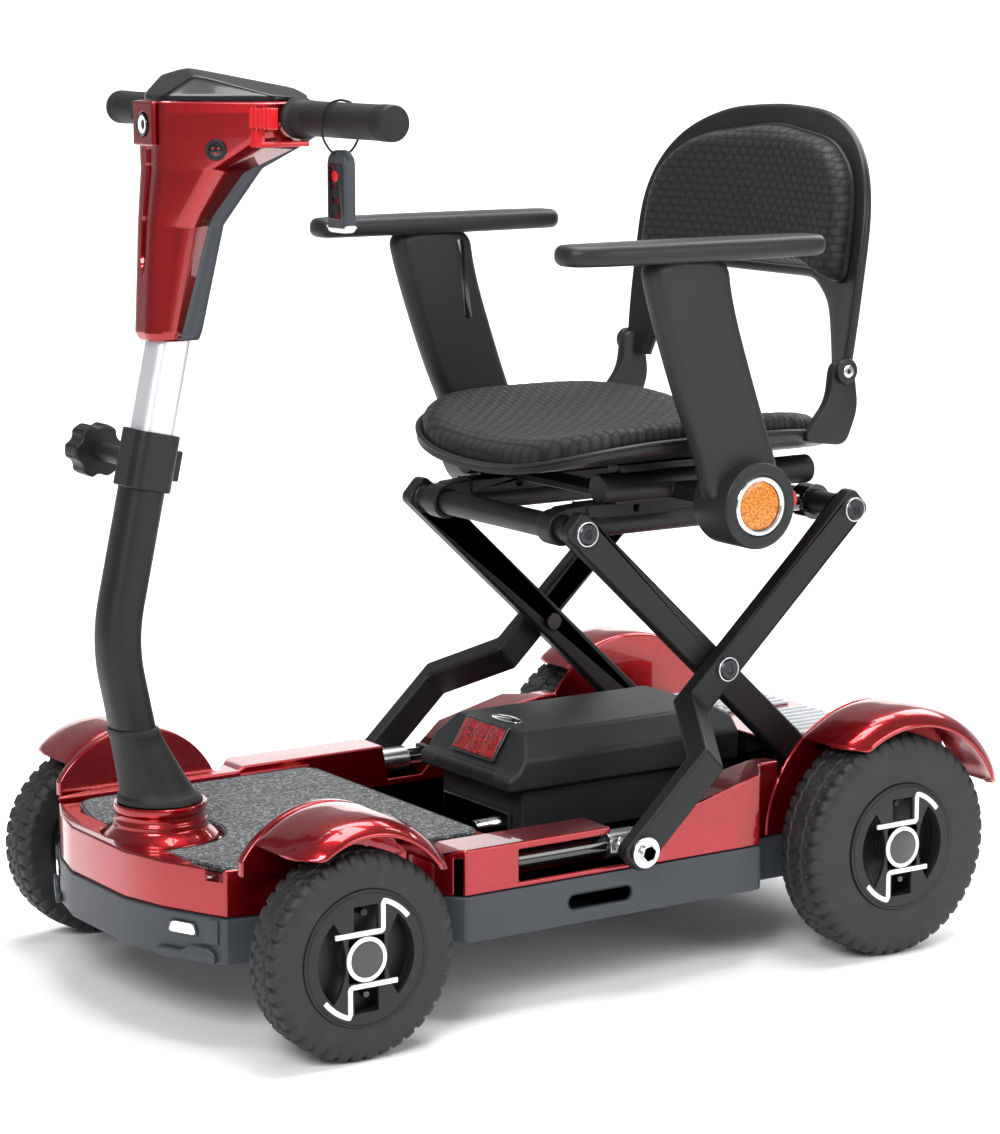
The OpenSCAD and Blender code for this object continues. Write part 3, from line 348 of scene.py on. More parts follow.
def revolve(name: str, profile: Array, centre: Sequence[float], axis: Sequence[float],
            count: int = 96, ripple: Callable[[Array, Array], Array] | None = None,
            sharp: float = 30.0) -> bpy.types.Object:
    """Turns a closed profile about an axis.

    Args:
        name: The object's name.
        profile: Points (m, 2): radius, and distance along the axis.
        centre: Where the axis starts.
        axis: The axis direction.
        count: Steps round the axis.
        ripple: Optional function of (angle, profile number) that gives a change of radius.
        sharp: Shading angle.

    Returns:
        The new object.
    """
    z = np.asarray(axis, float) / np.linalg.norm(axis)
    x = np.cross([0.0, 0.0, 1.0] if abs(z[2]) < 0.9 else [1.0, 0.0, 0.0], z)
    x /= np.linalg.norm(x)
    y = np.cross(z, x)
    a = np.arange(count) * TAU / count
    r = np.broadcast_to(profile[None, :, 0], (count, len(profile))).copy()
    if ripple is not None:
        r += ripple(a[:, None], np.arange(len(profile))[None])
    direction = np.cos(a)[:, None] * x + np.sin(a)[:, None] * y
    rings = np.asarray(centre, float) + direction[:, None] * r[..., None] + z * profile[None, :, 1:]
    return loft(name, rings, closed=True, sharp=sharp)


def disc(name: str, radius: float, low: float, high: float, centre: Sequence[float],
         axis: Sequence[float], edge: float = 0.8, hole: float = 0.0) -> bpy.types.Object:
    """A round plate or ring whose outer edges are quarter circles.

    Args:
        name: The object's name.
        radius: Outer radius.
        low: Where it begins along the axis.
        high: Where it ends.
        centre: Where the axis starts.
        axis: The axis direction.
        edge: Radius of the rounded edges.
        hole: Radius of the hole, or 0 for none.

    Returns:
        The new object.
    """
    a = np.linspace(0, math.pi / 2, 4)
    top = np.stack([radius - edge + edge * np.cos(a), high - edge + edge * np.sin(a)], -1)
    bottom = np.stack([radius - edge + edge * np.cos(a[::-1]), low + edge - edge * np.sin(a[::-1])], -1)
    inner = max(hole, 0.01)
    profile = np.vstack([[[inner, low]], bottom, top, [[inner, high]]])
    return revolve(name, profile, centre, axis, 64)


def soften(node: str, width: float, segments: int = 3, angle: float = 28.0) -> bpy.types.Object:
    """Copies a CAD node with its flat faces joined and its edges rounded, and stands it for the node.

    Args:
        node: The CAD node's name.
        width: Radius of the rounded edges in millimetres.
        segments: Steps on each rounded edge.
        angle: Edges that turn by less than this many degrees stay as they are.

    Returns:
        The new piece, riding on the node's body.
    """
    source = frame["nodes"][node]
    mesh = source.data.copy()
    mesh.materials.clear()
    bm = bmesh.new()
    bm.from_mesh(mesh)
    bmesh.ops.remove_doubles(bm, verts=bm.verts, dist=1e-5)
    bmesh.ops.dissolve_limit(bm, angle_limit=math.radians(0.7), verts=bm.verts, edges=bm.edges)
    bm.to_mesh(mesh)
    bm.free()
    mesh.polygons.foreach_set("use_smooth", np.ones(len(mesh.polygons), bool))
    obj = add_object("skin_" + node, mesh)
    bevel = obj.modifiers.new("edges", "BEVEL")
    bevel.width = width * MM
    bevel.segments = segments
    bevel.limit_method = "ANGLE"
    bevel.angle_limit = math.radians(angle)
    bevel.use_clamp_overlap = False
    weigh = obj.modifiers.new("normals", "WEIGHTED_NORMAL")
    weigh.keep_sharp = False
    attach(obj, BODY_OF[node])
    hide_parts(node)
    return obj


BODY_OF = {n: b for b, ns in frame["record"]["behaviour"]["bodies"].items() for n in ns}


def points_of(obj: bpy.types.Object) -> Array:
    """Reads an object's points.

    Args:
        obj: The mesh's object.

    Returns:
        Its points in millimetres, shape (n, 3).
    """
    flat = np.zeros(len(obj.data.vertices) * 3)
    obj.data.vertices.foreach_get("co", flat)
    return flat.reshape(-1, 3) * METRE


def set_points(obj: bpy.types.Object, points: Array) -> None:
    """Moves an object's points to new places in millimetres."""
    obj.data.vertices.foreach_set("co", (points * MM).ravel())


def fix_normals(obj: bpy.types.Object) -> None:
    """Turns a closed mesh's faces outwards after a mirror.

    Args:
        obj: The mesh's object.
    """
    bm = bmesh.new()
    bm.from_mesh(obj.data)
    bmesh.ops.recalc_face_normals(bm, faces=bm.faces)
    bm.to_mesh(obj.data)
    bm.free()


# ---- shader maths ----


class Sock:
    """A shader socket whose operators add Math nodes."""

    def __init__(self, tree: bpy.types.NodeTree, socket: bpy.types.NodeSocket) -> None:
        """Wraps a socket of a tree."""
        self.tree = tree
        self.socket = socket

    def math(self, operation: str, *values: "Sock | float") -> "Sock":
        """Adds a Math node.

        Args:
            operation: The Math node's operation.
            values: Its inputs after this one.

        Returns:
            Its output.
        """
        node = self.tree.nodes.new("ShaderNodeMath")
        node.operation = operation
        for slot, value in zip(node.inputs, (self, *values)):
            if isinstance(value, Sock):
                self.tree.links.new(value.socket, slot)
            else:
                slot.default_value = value
        return Sock(self.tree, node.outputs[0])

    def of(self, operation: str, first: float) -> "Sock":
        """Adds a Math node with a number before this socket.

        Args:
            operation: The Math node's operation.
            first: Its first input.

        Returns:
            Its output.
        """
        node = self.tree.nodes.new("ShaderNodeMath")
        node.operation = operation
        node.inputs[0].default_value = first
        self.tree.links.new(self.socket, node.inputs[1])
        return Sock(self.tree, node.outputs[0])

    def __add__(self, other: "Sock | float") -> "Sock":
        """This plus other."""
        return self.math("ADD", other)

    __radd__ = __add__

    def __sub__(self, other: "Sock | float") -> "Sock":
        """This minus other."""
        return self.math("SUBTRACT", other)

    def __rsub__(self, other: float) -> "Sock":
        """Other minus this."""
        return self.of("SUBTRACT", other)

    def __mul__(self, other: "Sock | float") -> "Sock":
        """This times other."""
        return self.math("MULTIPLY", other)

    __rmul__ = __mul__

    def __pow__(self, other: float) -> "Sock":
        """This to a power."""
        return self.math("POWER", other)

    def wave(self) -> "Sock":
        """The size of the sine of pi times this: 0 at whole numbers and 1 between them."""
        return (self * math.pi).math("SINE").math("ABSOLUTE")

    def smooth(self, low: float, high: float) -> "Sock":
        """A smooth step.

        Args:
            low: Below this it is 0.
            high: Above this it is 1.

        Returns:
            The step's output.
        """
        node = self.tree.nodes.new("ShaderNodeMapRange")
        node.interpolation_type = "SMOOTHSTEP"
        self.tree.links.new(self.socket, node.inputs["Value"])
        node.inputs["From Min"].default_value = low
        node.inputs["From Max"].default_value = high
        return Sock(self.tree, node.outputs["Result"])


class Finish:
    """One material: a Principled shader and the nodes that vary it."""

    def __init__(self, name: str, **constants: float | tuple) -> None:
        """Makes the material.

        Args:
            name: The material's name.
            constants: Shader sockets that are the same all over, with _ for a space.
        """
        self.material = bpy.data.materials.new(name)
        self.material.use_nodes = True
        self.tree = self.material.node_tree
        self.shader = self.tree.nodes["Principled BSDF"]
        for key, value in constants.items():
            self.shader.inputs[key.replace("_", " ")].default_value = value
        self.material.diffuse_color = (*self.shader.inputs["Base Color"].default_value[:3], 1)

    def node(self, kind: str, settings: dict | None = None, output: str | int = 0,
             **values: object) -> Sock:
        """Adds any node.

        Args:
            kind: The node's type, without the ShaderNode prefix.
            settings: Attributes of the node, set first; "stops" gives a ramp's (place, colour) pairs.
            output: Which output comes back.
            values: Values or links of its sockets, by name with _ for a space, or by number after an i.

        Returns:
            The wrapped output.
        """
        node = self.tree.nodes.new("ShaderNode" + kind)
        for key, value in (settings or {}).items():
            if key == "stops":
                ramp = node.color_ramp
                while len(ramp.elements) < len(value):
                    ramp.elements.new(0.5)
                for element, (at, colour) in zip(ramp.elements, value):
                    element.position = at
                    element.color = (*colour, 1)
            else:
                setattr(node, key, value)
        for key, value in values.items():
            numbered = key[0] == "i" and key[1:].isdigit()
            slot = node.inputs[int(key[1:]) if numbered else key.replace("_", " ")]
            if isinstance(value, Sock):
                self.tree.links.new(value.socket, slot)
            else:
                slot.default_value = value
        return Sock(self.tree, node.outputs[output])

    def coords(self) -> Sock:
        """Object coordinates."""
        return self.node("TexCoord", output="Object")

    def axes(self) -> tuple[Sock, Sock, Sock]:
        """Splits the object coordinates.

        Returns:
            The three coordinates as numbers.
        """
        node = self.tree.nodes.new("ShaderNodeSeparateXYZ")
        self.tree.links.new(self.coords().socket, node.inputs[0])
        return tuple(Sock(self.tree, o) for o in node.outputs)

    def noise(self, size: float, detail: float = 2.0, stretch: tuple | None = None) -> Sock:
        """Noise.

        Args:
            size: Size of its features in millimetres.
            detail: How many finer layers it has.
            stretch: Optional scale of each coordinate, which draws the features out.

        Returns:
            The noise, about 0.5.
        """
        at = self.coords()
        if stretch:
            at = self.node("Mapping", None, 0, Vector=at, Scale=stretch)
        return self.node("TexNoise", None, "Fac", Vector=at, Scale=METRE / size, Detail=detail)

    def cells(self, size: float, output: str = "Distance") -> Sock:
        """Distance to the nearest of scattered points about size millimetres apart, or its Color."""
        return self.node("TexVoronoi", {"feature": "F1"}, output, Vector=self.coords(), Scale=METRE / size)

    def colour(self, factor: Sock, low: tuple, high: tuple) -> None:
        """Base colour that runs from low to high with factor."""
        mixed = self.node("Mix", {"data_type": "RGBA"}, 2, i0=factor, i6=(*low, 1), i7=(*high, 1))
        self.tree.links.new(mixed.socket, self.shader.inputs["Base Color"])

    def feed(self, name: str, value: Sock) -> None:
        """Links a varying number to a shader socket."""
        self.tree.links.new(value.socket, self.shader.inputs[name])

    def bump(self, height: Sock, depth: float, strength: float = 1.0) -> None:
        """Raises the surface by height times depth millimetres."""
        node = self.node("Bump", None, 0, Height=height, Distance=depth * MM, Strength=strength)
        self.tree.links.new(node.socket, self.shader.inputs["Normal"])

    def dress(self, *objects: bpy.types.Object) -> None:
        """Gives this finish to objects."""
        for obj in objects:
            obj.data.materials.clear()
            obj.data.materials.append(self.material)


@dataclass(frozen=True)
class Plastic:
    """A moulded plastic or paint with a fine grain."""

    name: str
    colour: tuple
    roughness: float
    grain: float = 0.9
    depth: float = 0.06
    coat: float = 0.0
    spread: float = 0.18

    def make(self) -> Finish:
        """Builds the finish: noise shifts the colour and roughness a little and raises the grain.

        Returns:
            The finish.
        """
        f = Finish(self.name, Base_Color=(*self.colour, 1), Roughness=self.roughness, Coat_Weight=self.coat,
                   Coat_Roughness=0.06, Specular_IOR_Level=0.34)
        cloud = f.noise(60, 3)
        f.colour(cloud, tuple(c * (1 - self.spread) for c in self.colour),
                 tuple(min(1, c * (1 + self.spread)) for c in self.colour))
        f.feed("Roughness", cloud * 0.14 + (self.roughness - 0.07))
        f.bump(f.noise(self.grain, 2), self.depth, 0.6)
        return f


@dataclass(frozen=True)
class Metal:
    """A bare or plated metal with brushing along one axis."""

    name: str
    colour: tuple
    roughness: float
    stretch: tuple = (1, 1, 0.06)
    metallic: float = 1.0

    def make(self) -> Finish:
        """Builds the finish: drawn-out noise varies the roughness and the height.

        Returns:
            The finish.
        """
        f = Finish(self.name, Base_Color=(*self.colour, 1), Roughness=self.roughness, Metallic=self.metallic)
        brush = f.noise(1.2, 3, self.stretch)
        f.colour(brush, tuple(c * 0.88 for c in self.colour), tuple(min(1, c * 1.06) for c in self.colour))
        f.feed("Roughness", brush * 0.2 + (self.roughness - 0.1))
        f.bump(brush, 0.02, 0.5)
        return f


def candy_red() -> Finish:
    """Metallic candy paint: tiny flakes and slow clouds of tone under a clear coat.

    Returns:
        The finish.
    """
    f = Finish("candy_red", Base_Color=(0.30, 0.001, 0.004, 1), Metallic=0.85, Roughness=0.28,
               Coat_Weight=1.0, Coat_Roughness=0.03)
    flake = f.cells(0.5)
    cloud = f.noise(120, 2)
    f.colour((flake * 0.6 + cloud * 0.5).smooth(0.2, 0.9), (0.22, 0.0004, 0.003), (0.38, 0.001, 0.006))
    f.feed("Roughness", flake * 0.12 + 0.22)
    f.bump(f.noise(9, 1), 0.012, 0.5)
    return f


ROW = 0.55


def weave(name: str, across: int, along: int, cell: float, lean: float = 0.0) -> Finish:
    """Basket-woven vinyl: rows of humped cells, each of four slanting strands.

    Every other row is offset by half a cell. A hump is the product of two sines, raised to 0.45.

    Args:
        name: The material's name.
        across: Which object coordinate runs across the pad.
        along: Which object coordinate runs along it.
        cell: Size of one cell in millimetres.
        lean: Slant of the strands inside a cell.

    Returns:
        The finish.
    """
    f = Finish(name, Base_Color=(0.02, 0.021, 0.022, 1), Roughness=0.6, Specular_IOR_Level=0.25)
    axis = f.axes()
    row = axis[along] * (METRE / (cell * ROW))
    u = axis[across] * (METRE / cell) + (row.math("FLOOR") * 0.5).math("FRACT")
    hump = (u.wave() * row.wave()) ** 0.45
    strand = ((u + row * lean) * 4.0).wave() ** 0.6
    height = hump * (strand * 0.3 + 0.7)
    # Painted shade and highlight: the colour is darkest in the gaps between cells and strands, where shade
    # falls, and lightest on the hump tops.
    f.colour(height, (0.003, 0.003, 0.0035), (0.021, 0.022, 0.023))
    f.feed("Roughness", 0.72 - height * 0.2)
    f.bump(height, 0.9, 1.0)
    return f


def carpet() -> Finish:
    """Loop-pile carpet: charcoal loops with scattered pale ones.

    Returns:
        The finish.
    """
    f = Finish("carpet", Base_Color=(0.05, 0.05, 0.055, 1), Roughness=0.95, Sheen_Weight=0.25)
    loop_size = 2.6
    loops = f.cells(loop_size)
    value = f.node("SeparateColor", None, 0, Color=f.cells(loop_size, "Color"))
    # Partly real, partly painted shade: the scattered pale loops are the carpet's own colour, and each pale
    # loop darkens towards its edge, where the pile dips.
    f.colour(value.smooth(0.4, 1.0) * (1 - loops * 0.8), (0.008, 0.009, 0.010), (0.30, 0.31, 0.33))
    f.bump(1 - loops, 2.2, 1.0)
    return f


def tyre_rubber() -> Finish:
    """Tyre rubber: dull black with a fine grain, greyer where dust lies.

    Returns:
        The finish.
    """
    f = Finish("tyre_rubber", Base_Color=(0.02, 0.02, 0.021, 1), Roughness=0.7)
    dust = f.noise(26, 4)
    f.colour(dust.smooth(0.3, 0.8), (0.007, 0.007, 0.008), (0.018, 0.018, 0.019))
    f.feed("Roughness", dust * 0.2 + 0.52)
    f.bump(f.noise(1.4, 3), 0.12, 0.6)
    return f


def reflector(name: str, dark: tuple, bright: tuple) -> Finish:
    """Prismatic reflector: small cells under a clear face.

    Args:
        name: The material's name.
        dark: Colour between the cells.
        bright: Colour of the cells.

    Returns:
        The finish.
    """
    f = Finish(name, Base_Color=(*bright, 1), Roughness=0.3, Coat_Weight=0.4, Coat_Roughness=0.02)
    cell = f.cells(2.4)
    f.colour(cell.smooth(0.1, 0.75), bright, dark)
    f.bump(cell, 0.35, 0.8)
    return f


def lamp(name: str, colour: tuple, power: float) -> Finish:
    """A lit lens with fine ribs.

    Args:
        name: The material's name.
        colour: Colour of its light.
        power: How strongly it glows.

    Returns:
        The finish.
    """
    f = Finish(name, Base_Color=(*colour, 1), Roughness=0.2, Coat_Weight=1.0, Emission_Strength=power)
    ribs_in_metre = 400.0
    ribs = (f.axes()[0] * ribs_in_metre).wave()
    dim = tuple(c * 0.8 for c in colour)
    glow = f.node("Mix", {"data_type": "RGBA"}, 2, i0=ribs, i6=(*dim, 1), i7=(*colour, 1))
    f.tree.links.new(glow.socket, f.shader.inputs["Emission Color"])
    f.bump(ribs, 0.3)
    return f


def made(rule: Callable[..., Finish], *values: object) -> Finish:
    """A field of a dataclass that is filled by calling rule with values."""
    return field(default_factory=lambda: rule(*values))


@dataclass
class Palette:
    """Every finish of the scooter."""

    red: Finish = made(candy_red)
    case: Finish = made(Plastic("battery_plastic", (0.018, 0.0195, 0.022), 0.5, 1.1, 0.09).make)
    slate: Finish = made(Plastic("slate_plastic", (0.042, 0.047, 0.054), 0.45, 1.1, 0.07).make)
    black: Finish = made(Plastic("black_plastic", (0.010, 0.010, 0.011), 0.42, 0.9, 0.08).make)
    arm: Finish = made(Plastic("armrest_plastic", (0.013, 0.0135, 0.0145), 0.45, 1.0, 0.1).make)
    gloss: Finish = made(Plastic("gloss_black", (0.006, 0.006, 0.007), 0.1, 4, 0.01, 1.0).make)
    visor: Finish = made(Plastic("visor_black", (0.004, 0.004, 0.0045), 0.3, 3, 0.01, 0.25).make)
    paint: Finish = made(Plastic("powder_coat", (0.008, 0.008, 0.009), 0.45, 0.7, 0.05).make)
    rubber: Finish = made(Plastic("soft_rubber", (0.010, 0.010, 0.011), 0.6, 0.6, 0.06).make)
    grey: Finish = made(Plastic("grey_plastic", (0.55, 0.56, 0.58), 0.5, 1.2, 0.06).make)
    white: Finish = made(Plastic("white_trim", (0.85, 0.85, 0.85), 0.35, 1.2, 0.03).make)
    red_plastic: Finish = made(Plastic("red_plastic", (0.62, 0.01, 0.015), 0.25, 2, 0.02, 0.6).make)
    silver: Finish = made(Metal("silver_tube", (0.78, 0.79, 0.81), 0.4, metallic=0.7).make)
    steel: Finish = made(Metal("zinc_steel", (0.6, 0.61, 0.63), 0.3, (1, 0.08, 1)).make)
    dark_steel: Finish = made(Metal("black_oxide", (0.06, 0.06, 0.065), 0.35).make)
    chrome: Finish = made(Metal("chrome", (0.86, 0.87, 0.88), 0.14, (1, 1, 1)).make)
    tyre: Finish = made(tyre_rubber)
    carpet: Finish = made(carpet)
    seat: Finish = made(weave, "seat_weave", 0, 1, 15, 0.4)
    back: Finish = made(weave, "back_weave", 0, 2, 15, 0.4)
    tail: Finish = made(reflector, "red_reflector", (0.08, 0.0004, 0.0004), (0.62, 0.003, 0.001))
    amber: Finish = made(reflector, "amber_reflector", (0.42, 0.10, 0.0008), (0.86, 0.30, 0.003))
    led: Finish = made(lamp, "led_white", (0.95, 0.97, 1.0), 1.6)


def fit(piece: bpy.types.Object, body: str, finish: Finish, slot: str, *nodes: str) -> bpy.types.Object:
    """Dresses a piece, sets its body and the CAD nodes that it stands for, and logs it.

    Args:
        piece: The piece.
        body: The CAD body that it rides on.
        finish: Its finish.
        slot: The record's material slot, which is not used.
        nodes: CAD nodes that it replaces.

    Returns:
        The piece.
    """
    finish.dress(piece)
    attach(piece, body)
    if nodes:
        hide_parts(*nodes)
    log.info("%s on %s", piece.name, body)
    return piece


@dataclass(frozen=True)
class Plan:
    """Places that the sub-assemblies share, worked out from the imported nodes."""

    front_axle: float = -326.5
    rear_axle: float = 313.5
    steer: float = -388.5
    bend: tuple = (-435.0, 364.0)
    bar: tuple = (-280.5, 865.0)
    deck: float = 162.0


PLAN = Plan()


# ---- sub-assemblies ----


def trench(distance: Array, half: float) -> Array:
    """Depth of a groove with steep walls: 1 on its middle line and 0 at half or more from it."""
    return np.clip(1 - np.abs(distance) / half, 0, 1) ** 0.4


@dataclass
class Wheel:
    """A treaded tyre and the trims of its rim cover."""

    name: str
    side: int
    x: float
    y: float
    diameter: float
    width: float
    body: str
    lugs: int = 40
    cover: float = 66.0
    groove_depth: float = 3.2
    sipe_depth: float = 1.6
    slot_depth: float = 3.4
    ring_radius: float = 21.5
    ring_hole: float = 17.4
    cap_radius: float = 17.2

    def tyre_profile(self) -> Array:
        """Section of the tyre's skin, from the inner bead over the tread to the outer bead.

        The shoulder is an ellipse's arc and the tread's crown a shallow parabola.

        Returns:
            Radius and sideways place of each point.
        """
        bead, w, top = self.cover - 6, self.width, self.diameter / 2
        wall = np.array([[bead, -w * 0.34], [bead + 5, -w * 0.43], [bead + 9, -w * 0.465],
                         [bead + 10, -w * 0.462], [(top + bead) / 2, -w / 2], [top - w * 0.24, -w * 0.485]])
        a = np.linspace(0.2, 1.35, 7)
        shoulder = np.stack([top - w * 0.2 + w * 0.2 * np.sin(a) - 0.6, -w * 0.3 - w * 0.19 * np.cos(a)], -1)
        tread = np.linspace(-w * 0.26, w * 0.26, 31)
        crown = np.stack([top - 1.3 * (tread / (w * 0.26)) ** 2, tread], -1)
        half = np.vstack([wall, shoulder])
        return np.vstack([half, crown, half[::-1] * [1, -1]])

    def ripple(self, angle: Array, row: Array) -> Array:
        """Depth of the tread grooves.

        Two zigzag grooves run round the tread, thin sipes cross the middle rib on a slant, and wider
        slots cut the shoulders into lugs that end part way down the wall.

        Args:
            angle: Angle round the axle.
            row: Which profile point.

        Returns:
            Change of radius.
        """
        profile = self.tyre_profile()
        x = profile[:, 1][row] / (self.width * 0.5)
        r = profile[:, 0][row]
        turn = angle * self.lugs / TAU
        zig = np.abs((turn % 1) - 0.5) * 0.16
        top = r > self.diameter / 2 - self.width * 0.3
        groove = trench(np.abs(x) - 0.3 - zig, 0.045) * self.groove_depth * (np.abs(x) < 0.6)
        slant = (turn + 0.9 * x + 0.5 * (x > 0)) % 1
        sipe = trench(slant - 0.5, 0.09) * self.sipe_depth * (np.abs(x) < 0.26)
        step = (turn + 0.35 * np.abs(x) + 0.25 * (x > 0)) % 1
        slot = trench(step - 0.5, 0.17) * self.slot_depth * (np.abs(x) > 0.46)
        return -np.maximum(np.maximum(groove, sipe), slot) * top

    def build(self, palette: Palette) -> None:
        """Makes the tyre, the softened rim and the cover's trims.

        Args:
            palette: Finishes.
        """
        centre = (self.x, self.y, self.diameter / 2)
        axis = (1.0, 0.0, 0.0)
        profile = self.tyre_profile()
        inner = np.array([[self.cover - 6, self.width * 0.3], [self.cover - 6, -self.width * 0.3]])
        n = len(profile)

        def ripple(angle: Array, row: Array) -> Array:
            """The tread's ripple, and none on the bead's inner face."""
            depth = self.ripple(angle, np.minimum(row, n - 1))
            return np.where(row < n, depth, 0)

        skin = np.vstack([profile, inner])
        tyre = revolve(self.name + "_tread", skin, centre, axis, self.lugs * 11, ripple, 50)
        fit(tyre, self.body, palette.tyre, "tyre_rubber", self.name + "_tyre")
        rim = soften(self.name + "_rim", 0.7, 2)
        fit(rim, self.body, palette.black, "black_plastic")
        self.trims(palette, centre)

    def trims(self, palette: Palette, centre: tuple) -> None:
        """Ring round the hub cap, two hooked white lines, the halves of the raised plate, and the valve.

        Args:
            palette: Finishes.
            centre: Middle of the wheel.
        """
        s, face = self.side, self.width / 2 + 0.5
        ax = (float(s), 0.0, 0.0)
        at = np.array(centre)
        front = at + [s * face, 0, 0]
        ring = disc(self.name + "_ring", self.ring_radius, -3, 0.4, front, ax, 0.5, self.ring_hole)
        cap = disc(self.name + "_hub_cap", self.cap_radius, -1, 0.1, front, ax, 0.6)
        fit(ring, self.body, palette.white, "grey_plastic")
        fit(cap, self.body, palette.gloss, "black_gloss")
        arc = np.radians(np.linspace(38, 70, 9))
        hook = [[18, 50], [18, 36], [18, 26.5], [16, 25], [8, 25], [-12, 25], [-33, 25]]
        path = np.vstack([np.stack([57 * np.cos(arc), 57 * np.sin(arc)], -1), hook])
        box = fillet(oblong(-1.4, 1.4, -2.4, 2.4), 0.7, 3)
        blade = fillet([[-20, -47], [-15, -54], [-15, -22], [20, -22], [20, 22], [-20, 22]], 2)
        for k, flip in enumerate((1, -1)):
            turned = at[1:] + resample(path, 60, False) * [s * flip, flip]
            line = place(turned, at[0] + s * (face - 1.0), Axis.X)
            bar = sweep(f"{self.name}_line{k}", line, box, (1, 0, 0))
            fit(bar, self.body, palette.white, "grey_plastic")
            low, high = sorted((at[0] + s * (face - 4.5), at[0] + s * (face - 0.7)))
            half = slab(f"{self.name}_plate{k}", at[1:] + blade * [s * flip, flip], low, high, Axis.X, 0.8)
            fit(half, self.body, palette.black, "black_plastic")
        valve = disc(self.name + "_valve", 3.6, 0, 9, at + [s * (face - 14), 2 * s, -35], ax, 1.2)
        fit(valve, self.body, palette.gloss, "black_gloss")


@dataclass
class Fender:
    """A crowned fender over one wheel, with a lip along its outer edge and rounded ends."""

    name: str
    node: str
    side: int
    x0: float
    x1: float
    centre: tuple
    radius: float
    start: float
    end: float
    lip: float = 19.0
    corner: float = 26.0
    fade: float = 20.0
    steps: int = 72

    def build(self) -> bpy.types.Object:
        """Carries the section round the arch.

        Near both ends the outer edge draws in along a quarter ellipse, and the section's depth fades
        to a quarter by a smooth step.

        Returns:
            The piece.
        """
        w, r, low = self.x1 - self.x0, self.radius, self.radius - self.lip
        outer = fillet([[0, r - 5], [2, r - 1.5], [16, r], [w * 0.6, r], [w * 0.86, r - 3], [w, low + 4],
                        [w - 0.5, low], [w - 3, low], [w * 0.82, r - 7], [w * 0.6, r - 3.2], [16, r - 3.2],
                        [3, r - 6], [0, r - 7]], 9, 5)
        a = np.radians(np.linspace(self.start, self.end, self.steps))
        edge = np.minimum(a - a[0], a[-1] - a) * r
        reach = np.sqrt(np.clip(1 - (1 - np.clip(edge / self.corner, 0, 1)) ** 2, 0.0, 1))
        x = outer[None, :, 0] * (0.62 + 0.38 * reach)[:, None]
        rad = outer[None, :, 1] + (1 - reach)[:, None] * np.where(outer[None, :, 0] > w * 0.75, 3.0, 0)
        fade = np.clip(edge / self.fade, 0, 1)
        rad = r - (r - rad) * (0.25 + 0.75 * fade**2 * (3 - 2 * fade))[:, None]
        y = self.centre[0] + rad * np.cos(a)[:, None]
        z = self.centre[1] + rad * np.sin(a)[:, None]
        rings = np.stack([self.side * (self.x0 + x), y, z], -1)
        return loft(self.name, rings, sharp=60)


